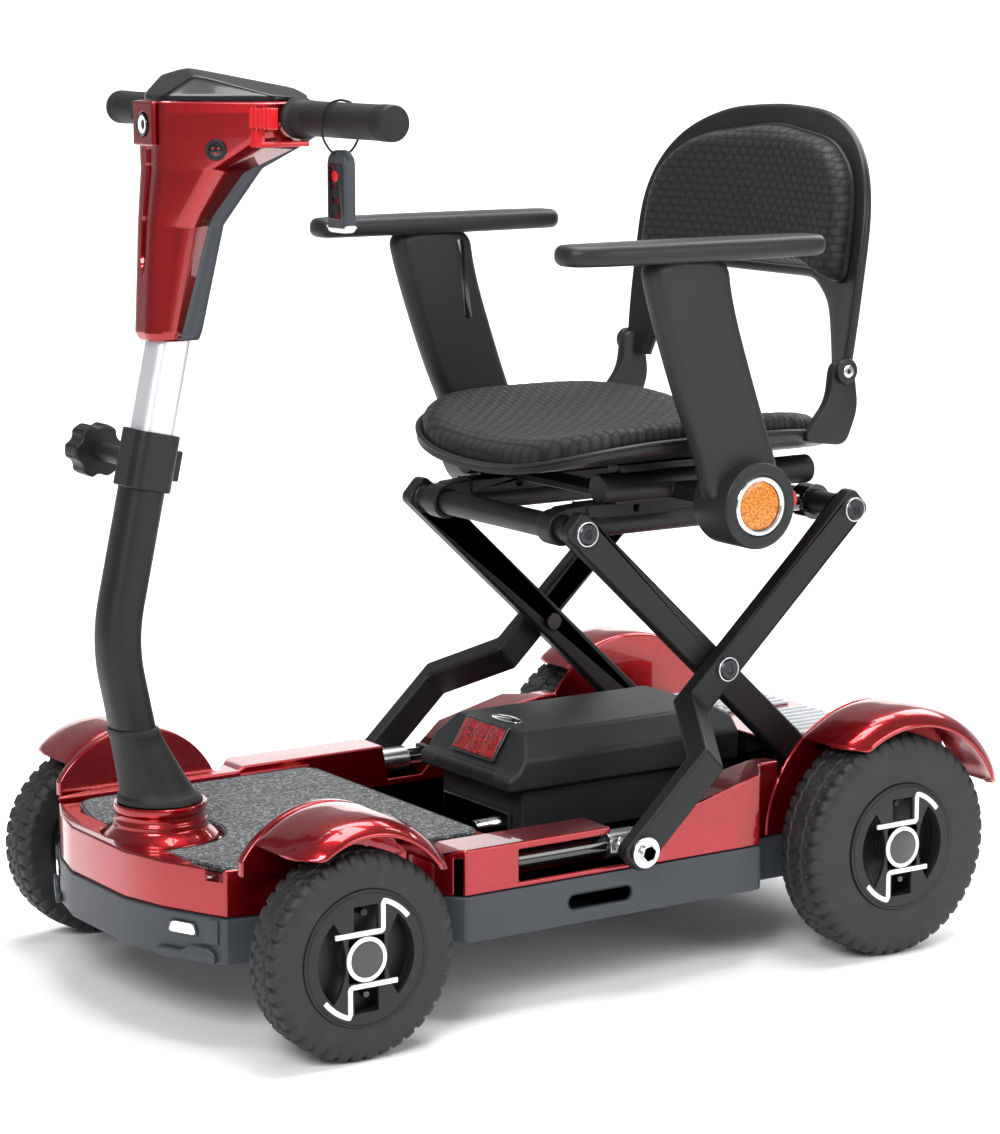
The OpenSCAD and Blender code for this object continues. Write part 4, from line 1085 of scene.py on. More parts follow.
@dataclass
class Chassis:
    """Pan, red shell, mat, lamps, fenders, step pads and what shows of the frame."""

    palette: Palette

    def build(self) -> None:
        """Builds every fixed piece."""
        p, front, rear = self.palette, PLAN.front_axle, PLAN.rear_axle
        for node, width, finish, slot in (
            ("body_pan", 3.0, p.slate, "slate_plastic"), ("deck_shell", 2.2, p.red, "red_shell"),
            ("chassis_frame", 1.0, p.paint, "black_frame"), ("drive_unit", 1.5, p.paint, "black_steel"),
            ("controller_box", 2.0, p.slate, "grey_plastic"), ("battery_latch", 0.8, p.chrome, "rod_steel"),
            ("step_pads", 0.8, p.grey, "grey_plastic")):
            fit(soften(node, width), "root", finish, slot)
        fit(soften("guide_rods", 0.6), "root", p.gloss, "rod_steel")
        self.collar()
        self.mat()
        self.lamps()
        for s, label in SIDES:
            for fender in (Fender("front_fender_" + label, "front_fenders", s, 196.3, 290,
                                  (front + 6.5, 127.7), 104, 22, 136, 17),
                           Fender("rear_fender_" + label, "rear_fenders", s, 212.3, 292.5,
                                  (rear + 16.8, 124.8), 133, 15.4, 131)):
                fit(fender.build(), "root", p.red, "red_shell", fender.node)

    def collar(self) -> None:
        """Flared collar under the gaiter: a turned section with two steps and a black lower ring."""
        section = fillet([[25, 162.2], [57.5, 162.2], [57.5, 167], [50, 174], [46.5, 178], [46.5, 184],
                          [44.5, 186], [44.5, 192], [46, 194], [46, 201.5], [39.5, 201.5], [39.5, 168],
                          [25, 168]], 2.2, 4)
        ring = revolve("steering_collar", section, (0, PLAN.steer, 0), (0, 0, 1), 96)
        fit(ring, "root", self.palette.red, "red_shell", "turret_collar")

    def mat(self) -> None:
        """Carpet mat: a rounded outline with a cut-out round the collar, and a bound edge."""
        y, z = PLAN.front_axle, PLAN.deck + 0.4
        a = np.radians(np.linspace(-5, 185, 25))
        notch = np.stack([63.5 * np.cos(a), -62 + 63.5 * np.sin(a)], -1)
        outer = fillet([[92, -92], [167, -70], [167, 207], [-167, 207], [-167, -70], [-92, -92]], 22, 8)
        line = np.vstack([[[63.8, -92]], outer, [[-63.8, -92]], notch[::-1]])
        line = resample(line + [0, y], 420)
        pile = slab("floor_mat", line, z, z + 5.4, Axis.Z, 1.2, sharp=60)
        fit(pile, "root", self.palette.carpet, "carpet", "deck_mat")
        path = place(line - outline_normals(line) * 1.7, z + 3.0, Axis.Z)
        binding = sweep("mat_binding", path, oval(2.9, 1.8, 8), (0, 0, 1), True)
        fit(binding, "root", self.palette.rubber, "carpet")

    def lamps(self) -> None:
        """Bumper lamps: a ribbed lens in a dark bezel, over a moulded lip, on the pan's slanted corners.

        Each part is a plate along X that is turned onto the corner, then mirrored for the right side.
        """
        p, angle = self.palette, math.atan2(30, 67)
        along = np.array([math.cos(angle), math.sin(angle)])
        out = np.array([math.sin(angle), -math.cos(angle)])
        parts = (
            ("bezel", 0.2, 2.2, 4, 0.8, p.gloss, "black_gloss", [[6, 104], [42, 104], [39, 118], [9, 118]]),
            ("lens", 0.4, 3.3, 4, 0.8, p.led, "lamp", [[8.5, 106], [39.5, 106], [36.5, 116], [11.5, 116]]),
            ("lip", 0.1, 5.5, 3, 1.6, p.slate, "slate_plastic",
             [[-6, 81], [64, 81], [64, 90], [56, 96], [34, 96], [24, 90], [-6, 90]]),
            ("cheek", 0.1, 2.6, 3, 1.0, p.slate, "slate_plastic",
             [[45, 99], [66, 99], [66, 124], [56, 124]]))
        corner = np.array([110, PLAN.front_axle - 118])
        for s, label in SIDES:
            for part, low, high, rounding, edge, finish, slot, corners in parts:
                flat = slab(f"lamp_{part}_{label}", fillet(corners, rounding), low, high, Axis.Y, edge)
                co = points_of(flat)
                xy = corner + co[:, :1] * along + co[:, 1:2] * out
                set_points(flat, np.column_stack([s * xy[:, 0], xy[:, 1], co[:, 2]]))
                fix_normals(flat)
                nodes = ("front_lamps",) if part == "lens" else ()
                fit(flat, "root", finish, slot, *nodes)


@dataclass
class Battery:
    """Battery case with its blank oval plate, reflector and lip."""

    palette: Palette

    def build(self) -> None:
        """Builds the case, its reflector in a frame, a blank oval plate on top and the lip in front."""
        p = self.palette
        fit(soften("battery_case", 4.0, 4), "battery", p.case, "slate_plastic")
        low, high = (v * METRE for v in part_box("battery_case"))
        self.tail_lens(low.y)
        middle = [0, low.y + 54]
        plate = slab("top_plate", oval(24, 10, 48) + middle, high.z + 0.05, high.z + 1.6, Axis.Z, 0.7)
        fit(plate, "battery", p.chrome, "rod_steel")
        inset = slab("top_plate_inset", oval(18, 6.5, 48) + middle, high.z + 0.4, high.z + 1.9, Axis.Z, 0.3)
        fit(inset, "battery", p.gloss, "black_gloss")
        lip = fillet(oblong(-58, 58, low.y - 0.2, low.y + 9.5), 6)
        fit(slab("carry_lip", lip, 181, 193.5, Axis.Z, 3.5, 5), "battery", p.case, "slate_plastic")

    def tail_lens(self, front: float) -> None:
        """Three prismatic cells in a dark frame, laid on the sloping nose.

        Args:
            front: Place of the battery's nose.
        """
        p, slope = self.palette, math.atan2(36, 22)
        parts = [("lens_frame", 0.0, 80.0, 0.0, 40.0, 0.1, 3.6, p.gloss, "black_gloss", ("battery_reflector",))]
        parts += [(f"lens_cell{k}", 3 + 25 * k, 27 + 25 * k, 3.0, 37.0, 1.0, 4.8, p.tail, "red_reflector", ())
                  for k in range(3)]
        for name, x0, x1, v0, v1, low, high, finish, slot, nodes in parts:
            outline = fillet(oblong(x0 - 40, x1 - 40, v0, v1), 2.0, 4)
            piece = slab(name, outline, low, high, Axis.Z, 0.8)
            x, v, w = points_of(piece).T
            y = front + 12.5 + v * math.cos(slope) - w * math.sin(slope)
            z = 197.5 + v * math.sin(slope) + w * math.cos(slope)
            set_points(piece, np.stack([x, y, z], -1))
            fit(piece, "battery", finish, slot, *nodes)


@dataclass
class Steering:
    """Column, knuckles, tie rod, gaiter, tiller tubes and their clamp."""

    palette: Palette
    tube: float = 42.0
    lower_lean: float = 11.5
    upper_lean: float = 12.5

    def rounded(self, size: float, radius: float) -> Array:
        """Outline of a square tube with rounded edges."""
        h = size / 2
        return fillet(oblong(-h, h, -h, h), radius * 1.5, 7)

    def along(self, distance: float, upper: bool = True) -> Array:
        """A point on the outer tube's middle line.

        Args:
            distance: Distance from the bend.
            upper: Whether it is up the upper part, else down the lower part.

        Returns:
            The point.
        """
        a = math.radians(self.upper_lean if upper else self.lower_lean)
        y, z = PLAN.bend
        s = 1 if upper else -1
        return np.array([0, y + distance * math.sin(a), z + s * distance * math.cos(a)])

    def build(self) -> None:
        """Builds the steering and the tiller."""
        p = self.palette
        for node, body in (("steering_column", "steering"), ("left_knuckle", "left_knuckle"),
                           ("right_knuckle", "right_knuckle")):
            fit(soften(node, 0.8), body, p.paint, "black_frame")
        fit(soften("tie_rod", 0.8), "tie_rod", p.steel, "rod_steel")
        self.gooseneck()
        self.boot()
        fit(soften("clamp_collar", 1.6, 4), "tiller", p.black, "black_frame")
        fit(soften("clamp_knob", 2.6, 4), "clamp_knob", p.black, "black_plastic")
        fit(soften("inner_tube", 0.3, 2), "head", p.silver, "silver_tube")

    def gooseneck(self) -> None:
        """Outer tube: its rounded square section is carried along two straight parts and a smooth bend."""
        low = [self.along(d, False) for d in (140, 100, 70, 38)]
        high = [self.along(d) for d in (38, 70, 100, 150, 201.5)]
        a, b, m = low[-1], high[0], self.along(0)
        t = np.linspace(0, 1, 22)[1:-1, None]
        path = np.vstack([low, quadratic(t, a, m, b), high])
        tube = sweep("gooseneck", path, self.rounded(self.tube - 0.2, 12), (1, 0, 0), sharp=50)
        fit(tube, "tiller", self.palette.paint, "black_frame", "tiller_tube")

    def boot(self) -> None:
        """Rubber gaiter: a round foot that draws in to the tube's section, with two lips and a seam.

        A ring at a level is the circle and the square section mixed by the level to the power 0.72.
        """
        y_top = PLAN.bend[0] + (PLAN.bend[1] - 278) * math.tan(math.radians(self.lower_lean))
        square = resample(self.rounded(46, 13), 96)
        square = np.roll(square, -int(np.argmin(np.abs(np.arctan2(square[:, 1], square[:, 0])))), 0)
        a = np.arctan2(square[:, 1], square[:, 0])
        circle = np.stack([42 * np.cos(a), 42 * np.sin(a)], -1)
        level = np.array([0, 0.02, 0.06, 0.09, 0.10, 0.2, 0.32, 0.45, 0.6, 0.75, 0.88, 0.9, 0.94, 0.98, 1.0])
        lip = np.array([1.0, 1.022, 1.022, 1.0, 0.97, 0.97, 0.97, 0.97, 0.97, 0.97, 0.97, 1.0, 1.02, 1.02, 1.0])
        mix = level**0.72
        y = PLAN.steer * (1 - level) + y_top * level
        ring = circle[None] * (1 - mix)[:, None, None] + square[None] * mix[:, None, None]
        ring = ring * lip[:, None, None]
        seam = 0.9 * np.exp(-((np.abs(a) / 0.06) ** 2))
        ring = ring * (1 + seam / 40)[None, :, None]
        height = np.broadcast_to((202.5 + level * 75.3)[:, None], ring.shape[:2])
        points = np.dstack([ring[..., 0], ring[..., 1] + y[:, None], height])
        boot = loft("hinge_gaiter", points, sharp=60)
        self.palette.rubber.dress(boot)
        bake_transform(boot)
        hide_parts("gaiter")


@dataclass
class Head:
    """Tiller head: faceted cowl, rear cover, visor, lamp, grips, levers and the fob on its cord."""

    palette: Palette

    def levels(self) -> Array:
        """Levels of the head from its foot to its top, filled in straight between the moulded steps.

        Returns:
            Rows of height, nose half width, nose place, side half width, side place, back place and
            parting line. Places are from the front axle.
        """
        key = np.array([
            [653, 11, -71, 24, -60, -20], [661, 14, -74, 27, -62, -18], [762, 17, -68, 32, -46, 4],
            [816, 20, -62, 52, -26, 36], [846, 22, -62, 82, 8, 77], [868, 22, -62, 91, 16, 73],
            [878, 22, -61.5, 91, 18, 71], [880.3, 21, -60.5, 89, 19, 69]])
        z = np.unique(np.concatenate([np.linspace(653, 880.3, 90), key[:, 0]]))
        part = np.interp(z, [660, 770, 812, 836], [-44, -14, 12, 58])
        return np.column_stack([z] + [np.interp(z, key[:, 0], key[:, k]) for k in range(1, 6)] + [part])

    def ring(self, row: Array) -> tuple[Array, Array]:
        """The cowl's part and the rear cover's part of one level's outline.

        Args:
            row: One row of levels().

        Returns:
            Points (n, 2) of the front part and of the back part, each from the left parting round.
        """
        z, nose, ny, side, sy, back, part = row
        part = max(part, sy + 1.0)
        split, wing, tip, heel = np.array([[side, part], [side, sy], [nose, ny], [side, back]])
        left = np.vstack([split[None], round_corner(split + [0, 6], wing, tip, 7),
                          round_corner(wing, tip, tip * [-1, 1], 6)])
        flat = np.column_stack([np.linspace(left[-1, 0], -left[-1, 0], 23)[1:-1], np.full(21, left[-1, 1])])
        groove = np.clip((z - 712) / 22, 0, 1) * np.clip((838 - z) / 2, 0, 1)
        width = 5.2 * groove
        flat[:, 1] += 3.2 * groove * (np.abs(flat[:, 0]) < max(width, 0.01))
        front = np.vstack([left, flat, left[::-1] * [-1, 1]])
        corner = round_corner(split, heel, heel * [-1, 1], 12, 6)
        rear = np.vstack([split[None], corner, corner[::-1] * [-1, 1], split[None] * [-1, 1]])
        return front, rear

    def shell(self, name: str, which: int, gap: float) -> bpy.types.Object:
        """One moulding of the head, given a wall by Solidify.

        Args:
            name: Its name.
            which: 0 for the cowl in front and 1 for the cover behind.
            gap: Distance it stands back from the parting line.

        Returns:
            The piece.
        """
        rings = np.array([place(self.ring(row)[which], row[0], Axis.Z) for row in self.levels()])
        rings[..., 1] += PLAN.front_axle + gap
        count, cols = rings.shape[:2]
        faces = grid_faces(count, cols, False, False).tolist()
        obj = mesh_object(name, rings.reshape(-1, 3), faces, 24, turn=False)
        wall = obj.modifiers.new("wall", "SOLIDIFY")
        wall.thickness = 0.0022
        wall.offset = -1
        return obj

    def build(self) -> None:
        """Builds the head."""
        p = self.palette
        cowl = self.shell("head_shell", 0, 0.0)
        rear = self.shell("head_back", 1, 0.5)
        for obj, finish, slot, node in ((cowl, p.red, "red_shell", "head_cowl"),
                                        (rear, p.slate, "slate_plastic", "head_rear_cover")):
            self.turn_out(obj)
            fit(obj, "head", finish, slot, node)
        self.visor()
        fit(soften("nose_panel", 2.0, 3), "head", p.red, "red_shell")
        fit(soften("handlebar", 0.8), "head", p.paint, "rod_steel")
        self.lamp()
        for s, label in SIDES:
            self.grip(s, label)
        fit(soften("forward_lever", 1.2, 3), "forward_lever", p.red_plastic, "red_plastic")
        fit(soften("reverse_lever", 1.2, 3), "reverse_lever", p.black, "black_plastic")
        self.socket()

    def socket(self) -> None:
        """Charging socket on the cowl's left flank: a rim, a dark middle and three red pins."""
        p, facing, at = self.palette, (0.757, -0.653, -0.05), (57.5, PLAN.front_axle - 20.8, 835.0)
        flank, up = np.array([0.653, 0.757, 0]), np.array([0, 0, 1.0])
        rim = np.array([[6.2, -3], [10.2, -3], [10.2, 1.4], [9.4, 2.4], [7.4, 2.4], [6.6, 1.4]])
        fit(revolve("socket_rim", rim, at, facing, 48), "head", p.rubber, "black_plastic", "key_socket")
        fit(disc("socket_middle", 6.6, -2, 0.6, at, facing, 0.4), "head", p.gloss, "black_gloss")
        for k in range(3):
            t = TAU * k / 3 + 0.5
            pin = np.array(at) + 3.2 * (math.cos(t) * flank + math.sin(t) * up)
            fit(disc(f"socket_pin{k}", 1.1, 0, 1.9, pin, facing, 0.3), "head", p.red_plastic, "red_plastic")

    def visor(self) -> None:
        """Black visor: rings of the plan drawn in, whose height is the least of five planes.

        The planes are the brow that climbs from the nose, the roof that falls to the back, the side roof
        that falls outwards, the level top and the skirt, which climbs steeply from the rim.
        """
        plan = [[20, -383], [62, -333], [87, -304], [87, -264], [72, -256]]
        outline = resample(fillet(plan + [[-x, y] for x, y in plan[::-1]], 7, 6), 260)
        centre = np.array([0.0, -322.0])
        spokes = outline - centre
        k = np.concatenate([[1.0, 1.0], np.linspace(1, 0.01, 80)])[:, None]
        uv = centre + spokes[None] * k[..., None]
        x, y = np.abs(uv[..., 0]), uv[..., 1]
        rim = (1 - k) * np.linalg.norm(spokes, axis=1)
        back = np.maximum(y + 344, 0)
        roof = np.stack([885 + 0.72 * (y + 383), 911.3 - 0.22 * back, 912.5 - 0.26 * x - 0.09 * back,
                         911.3 + 0 * x, 885.5 + 2.4 * rim])
        soft = -1.1 * np.log(np.sum(np.exp(-(roof - 881) / 1.1), axis=0)) + 881
        soft[0] = 880.9
        soft[1] = np.minimum(soft[1], 884.0)
        points = np.stack([uv[..., 0], y, np.clip(soft, 880.9, 911.4)], -1)
        fit(loft("dash_visor_skin", points, sharp=60), "head", self.palette.visor, "black_gloss", "dash_visor")

    def turn_out(self, obj: bpy.types.Object) -> None:
        """Turns an open shell's faces away from the head's middle line.

        Args:
            obj: The shell.
        """
        mesh = obj.data
        centre = np.array([0, (PLAN.front_axle + 5) * MM, 0.8])
        n = len(mesh.polygons)
        c, d = np.zeros(n * 3), np.zeros(n * 3)
        mesh.polygons.foreach_get("center", c)
        mesh.polygons.foreach_get("normal", d)
        away = c.reshape(-1, 3) - centre
        away[:, 2] = 0
        if np.sum(away * d.reshape(-1, 3)) < 0:
            mesh.flip_normals()

    def lamp(self) -> None:
        """Nose lamp: a black bezel, a glowing ring and a dark middle, turned about the line ahead."""
        p, at, ax = self.palette, (0, PLAN.front_axle - 62.9, 858), (0, -1, 0)
        bezel = np.array([[8.6, 0], [11, 0], [11, 6.2], [10.4, 6.9], [9.2, 6.9], [8.8, 6.2], [8.6, 4]])
        fit(revolve("nose_lamp_bezel", bezel, at, ax), "head", p.gloss, "black_gloss", "headlight")
        fit(disc("nose_lamp_ring", 8.5, 1, 5.6, at, ax, 0.8, 5.6), "head", p.led, "lamp")
        fit(disc("nose_lamp_middle", 5.5, 1, 4.8, at, ax, 1.2), "head", p.gloss, "black_gloss")

    def grip(self, side: int, label: str) -> None:
        """Rubber grip: a flange, fine rings at its foot, and an end cap with ring grooves.

        Args:
            side: 1 for the left or -1 for the right.
            label: Its name.
        """
        start = 97.0
        x = np.concatenate([[0, 0, 0.8, 5, 6, 7], np.linspace(8, 30, 45), np.linspace(34, 150, 12),
                            np.linspace(154, 168, 33), [170.5, 172.3, 173, 173]])
        r = np.full(len(x), 16.6)
        r[:6] = [11.1, 18.5, 19.8, 19.8, 18.6, 17.2]
        rings = (x >= 8) & (x <= 30)
        r[rings] += 0.5 * np.sin((x[rings] - 8) * TAU / 4.4)
        grooves = (x >= 154) & (x <= 168)
        r[grooves] = 17.0 - 0.9 * (np.sin((x[grooves] - 154) * TAU / 5.2) > 0.55)
        r[-4:] = [16.8, 15.6, 13.5, 0.05]
        centre, axis = (side * start, *PLAN.bar), (float(side), 0, 0)
        piece = revolve("grip_" + label, np.column_stack([r, x]), centre, axis, 64)
        fit(piece, "head", self.palette.rubber, "soft_rubber", label + "_grip")

    def fob(self) -> None:
        """Remote fob with its buttons, and the cord that loops from it over the left grip."""
        p = self.palette
        low, high = (np.array(v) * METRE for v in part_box("remote_fob"))
        cx, cz = (low[0] + high[0]) / 2, (low[2] + high[2]) / 2
        w, h = (high[0] - low[0]) / 2, (high[2] - low[2]) / 2
        body = fillet([[cx - w, cz - h], [cx + w, cz - h], [cx + w, cz + h - 8], [cx + w - 9, cz + h],
                       [cx - w + 9, cz + h], [cx - w, cz + h - 8]], 7, 6)
        case = slab("fob_case", body, low[1], high[1], Axis.Y, 2.6)
        fit(case, "head", p.slate, "grey_plastic", "remote_fob")
        edge = body[body[:, 1] < cz - h + 12]
        edge = (edge - [cx, cz]) * [1.02, 1.005] + [cx, cz]
        band = slab("fob_edge", edge, low[1] - 0.2, high[1] + 0.2, Axis.Y, 2.6)
        fit(band, "head", p.white, "grey_plastic")
        panel = fillet(oblong(cx - w + 3, cx + w - 3, cz - h + 12, cz + h - 12), 5, 6)
        for face, facing, y0, y1 in (("front", -1, low[1] - 0.3, low[1] + 3),
                                     ("rear", 1, high[1] - 3, high[1] + 0.3)):
            fit(slab("fob_face_" + face, panel, y0, y1, Axis.Y, 0.8), "head", p.gloss, "black_gloss")
            for k in range(3):
                at = (cx, y0 if facing < 0 else y1, cz + h - 24 - k * 15)
                button = disc(f"fob_button_{face}{k}", 5, -0.2, 0.9, at, (0, facing, 0), 0.4)
                tone = (p.rubber, "black_plastic") if k else (p.red_plastic, "red_plastic")
                fit(button, "head", *tone)
        self.lanyard()

    def lanyard(self) -> None:
        """Cord of the fob: a ring round the left grip, longer below, whose two ends go into the fob."""
        a = np.radians(np.arange(-180, 181, 30))
        s, c = np.sin(a), np.cos(a)
        y, z = PLAN.bar
        path = np.column_stack([175 + 4 * s, y + 20 * s, z - 1 + np.where(c > 0, 20 * c, 32 * c)])
        at = np.linspace(0, len(path) - 1, 60)
        fine = np.column_stack([np.interp(at, np.arange(len(path)), path[:, k]) for k in range(3)])
        relax(fine, 3)
        fine[0, 0] -= 1.4
        fine[-1, 0] += 1.4
        tube = sweep("fob_cord", fine, oval(1.2, 1.2, 8), (1, 0, 0.02))
        fit(tube, "head", self.palette.rubber, "cord", "fob_lanyard")


Height = Callable[[Array, Array], Array]


def padding(name: str, outline: Array, centre: Sequence[float], rest: Height, back: float, full: float,
            lip: float, edge: float, axis: Axis, relief: Height | None = None,
            rings: int = 70) -> bpy.types.Object:
    """A crowned pad on a curved seat.

    Each ring is the outline drawn towards the centre. The pad's height over its curved base is back
    underneath, lip at the rim, and rises to full over the first edge millimetres as a quarter ellipse.

    Args:
        name: The object's name.
        outline: Closed outline (n, 2).
        centre: Where the rings close.
        rest: Height of the curved base at (u, v).
        back: Height of the underside over the base.
        full: Height of the face over the base.
        lip: Height of the rim over the base.
        edge: Width of the rounded border.
        axis: Direction of the height.
        relief: Optional extra height at (u, v), which fades out on the border.
        rings: Number of rings on the face.

    Returns:
        The new object.
    """
    c = np.asarray(centre, float)
    spokes = outline - c
    reach = np.linalg.norm(spokes, axis=1)
    under = np.linspace(0.02, 1, 12)
    over = np.concatenate([1 - np.linspace(0, 1, 14) ** 2 * 0.24, np.linspace(0.75, 0.01, rings)])
    k = np.concatenate([under, over])[:, None]
    uv = c + spokes[None] * k[..., None]
    inside = np.clip((1 - k) * reach / edge, 0, 1)
    swell = np.sqrt(1 - (1 - inside) ** 2)
    height = lip + (full - lip) * swell
    if relief is not None:
        fade = np.clip(inside * 3 - 0.5, 0, 1)
        height = height + relief(uv[..., 0], uv[..., 1]) * fade * np.sign(full - back)
    height[:len(under)] = back
    height = height + rest(uv[..., 0], uv[..., 1])
    return loft(name, place(uv, height, axis), sharp=75)


def woven(u: Array, v: Array, cell: float) -> Array:
    """Height of the basket weave, which follows the finish: the product of two sines, raised to 0.45.

    Args:
        u: Place across the pad.
        v: Place along it.
        cell: Size of one cell.

    Returns:
        The height at each place, up to 1 mm.
    """
    row = v / (cell * ROW)
    a = u / cell + (np.floor(row) / 2) % 1
    return np.abs(np.sin(np.pi * a) * np.sin(np.pi * row)) ** 0.45


def bolt(name: str, at: Sequence[float], side: int, radius: float, height: float) -> bpy.types.Object:
    """Hex head with its washer, standing on a face that looks along X.

    Args:
        name: The object's name.
        at: Middle of the head's foot.
        side: 1 or -1, the way the head stands.
        radius: Half the distance between corners.
        height: Height of the head.

    Returns:
        The new object.
    """
    a = np.radians(np.arange(6) * 60 + 12)
    hexagon = fillet(np.stack([at[1] + radius * np.cos(a), at[2] + radius * np.sin(a)], -1), 1.0, 3)
    low, high = sorted((at[0], at[0] + side * height))
    return slab(name, hexagon, low, high, Axis.X, 0.9)


@dataclass
class FoldingFrame:
    """Scissor arms with their bolts, bush rings, slide bars and shoes."""

    palette: Palette
    centre: tuple = (171.1, 299.4)
    front_top: tuple = (8.78, 450.8)
    rear_top: tuple = (333.5, 450.8)
    front_low: tuple = (8.78, 148.0)

    def build(self) -> None:
        """Softens the arms and adds the hardware."""
        p = self.palette
        for node, body, width, finish, slot in (
            ("inner_scissor", "inner_scissor", 4.0, p.paint, "black_frame"),
            ("outer_scissor", "outer_scissor", 4.0, p.paint, "black_frame"),
            ("pivot_bolts", "outer_scissor", 0.7, p.dark_steel, "rod_steel"),
            ("slide_shoes", "slide_shoes", 0.9, p.steel, "rod_steel"),
            ("seat_slide_bars", "seat_slide_bars", 0.8, p.gloss, "rod_steel")):
            fit(soften(node, width, 4), body, finish, slot)
        caps = (("centre", "outer_scissor", 179.0, self.centre, 4.0),
                ("rear_top", "outer_scissor", 179.0, self.rear_top, 4.9),
                ("front_top", "inner_scissor", 158.0, self.front_top, 4.9))
        for s, label in SIDES:
            axis = (float(s), 0, 0)
            nut = bolt("foot_bolt_" + label, (s * 264.5, *self.front_low), s, 9.0, 5.5)
            fit(nut, "slide_shoes", p.chrome, "rod_steel")
            washer = disc("foot_washer_" + label, 15.6, -1, 2.0, (s * 263.0, *self.front_low), axis, 0.5, 9.0)
            fit(washer, "slide_shoes", p.chrome, "rod_steel")
            for part, body, x, (y, z), proud in caps:
                at = (s * x, y, z)
                ring = disc(f"{part}_ring_{label}", 12.8, -0.5, proud - 0.6, at, axis, 0.5, 11.4)
                fit(ring, body, p.steel, "rod_steel")
                cap = np.array([[4.2, proud - 2.5], [4.2, proud + 0.6], [5, proud + 1.2], [9.6, proud + 1.2],
                                [11.2, proud - 0.4], [11.2, 0], [4.2, 0]])
                fit(revolve(f"{part}_cap_{label}", cap, at, axis, 48), body, p.dark_steel, "rod_steel")
                socket = bolt(f"{part}_socket_{label}", (s * (x + proud - 2.6), y, z), s, 4.6, 0.6)
                fit(socket, body, p.gloss, "rod_steel")


@dataclass
class Seat:
    """Seat frame, saddle shell, woven pad and release knob."""

    palette: Palette
    half: float = 190.0
    front: float = -20.5
    back: float = 333.5
    height: float = 498.0
    cell: float = 15.0

    def plan(self, inset: float) -> Array:
        """Outline of the seat from above, rounded and evenly spaced.

        Args:
            inset: How far it is drawn in.

        Returns:
            Points (360, 2).
        """
        w, y0, y1 = self.half - inset, self.front + inset, self.back - inset
        right = [[0, y0], [w * 0.55, y0 + 4], [w * 0.86, y0 + 34], [w, y0 + 92], [w, y1 - 90],
                 [w * 0.84, y1 - 24], [w * 0.6, y1]]
        corners = right + [[-x, y] for x, y in right[:0:-1]]
        return resample(fillet(corners, 60, 9), 360)

    def saddle(self, u: Array, v: Array) -> Array:
        """Height of the saddle: a power of the distance from the middle line."""
        return self.height + 36 * (np.abs(u) / (self.half + 4)) ** 2.2

    def build(self) -> None:
        """Builds the seat."""
        p = self.palette
        fit(soften("seat_frame", 1.6), "seat", p.paint, "black_frame")
        middle = (0.0, (self.front + self.back) / 2)
        shell = padding("seat_pan", self.plan(-3), middle, self.saddle, 0.3, 8.6, 6.0, 4.0, Axis.Z, rings=40)
        fit(shell, "seat", p.black, "black_plastic", "seat_shell")
        rim = self.plan(-1.2)
        path = np.column_stack([rim, self.saddle(rim[:, 0], rim[:, 1]) + 8.5])
        lip = sweep("seat_rim", path, oval(2.6, 3.6, 10), (0, 0, 1), True)
        fit(lip, "seat", p.black, "black_plastic")
        pad = padding("seat_pad", self.plan(2.5), middle, self.saddle, 9.0, 34.4, 16.0, 26.0, Axis.Z,
                      lambda u, v: woven(u, v, self.cell), 130)
        fit(pad, "seat", p.seat, "weave_vinyl", "seat_cushion")
        y, z = 309.5, self.height
        upright = fillet([[y - 52, z + 30], [y + 4, z + 22], [y + 20, z + 60], [y + 13, 608], [y - 13, 608],
                          [y - 18, z + 70]], 13, 7)
        for s, label in SIDES:
            piece = slab("hinge_upright_" + label, upright, *sorted((s * 178, s * 190)), Axis.X, 2.2)
            fit(piece, "seat", p.black, "black_plastic")
            foot = fillet(oblong(s * 107, s * 133, 69.5, 229.5), 5)
            fit(slab("pan_foot_" + label, foot, 504.3, 512, Axis.Z, 0.8), "seat", p.black, "black_plastic")
        fit(soften("release_knob", 1.4), "release_knob", p.red_plastic, "red_plastic")


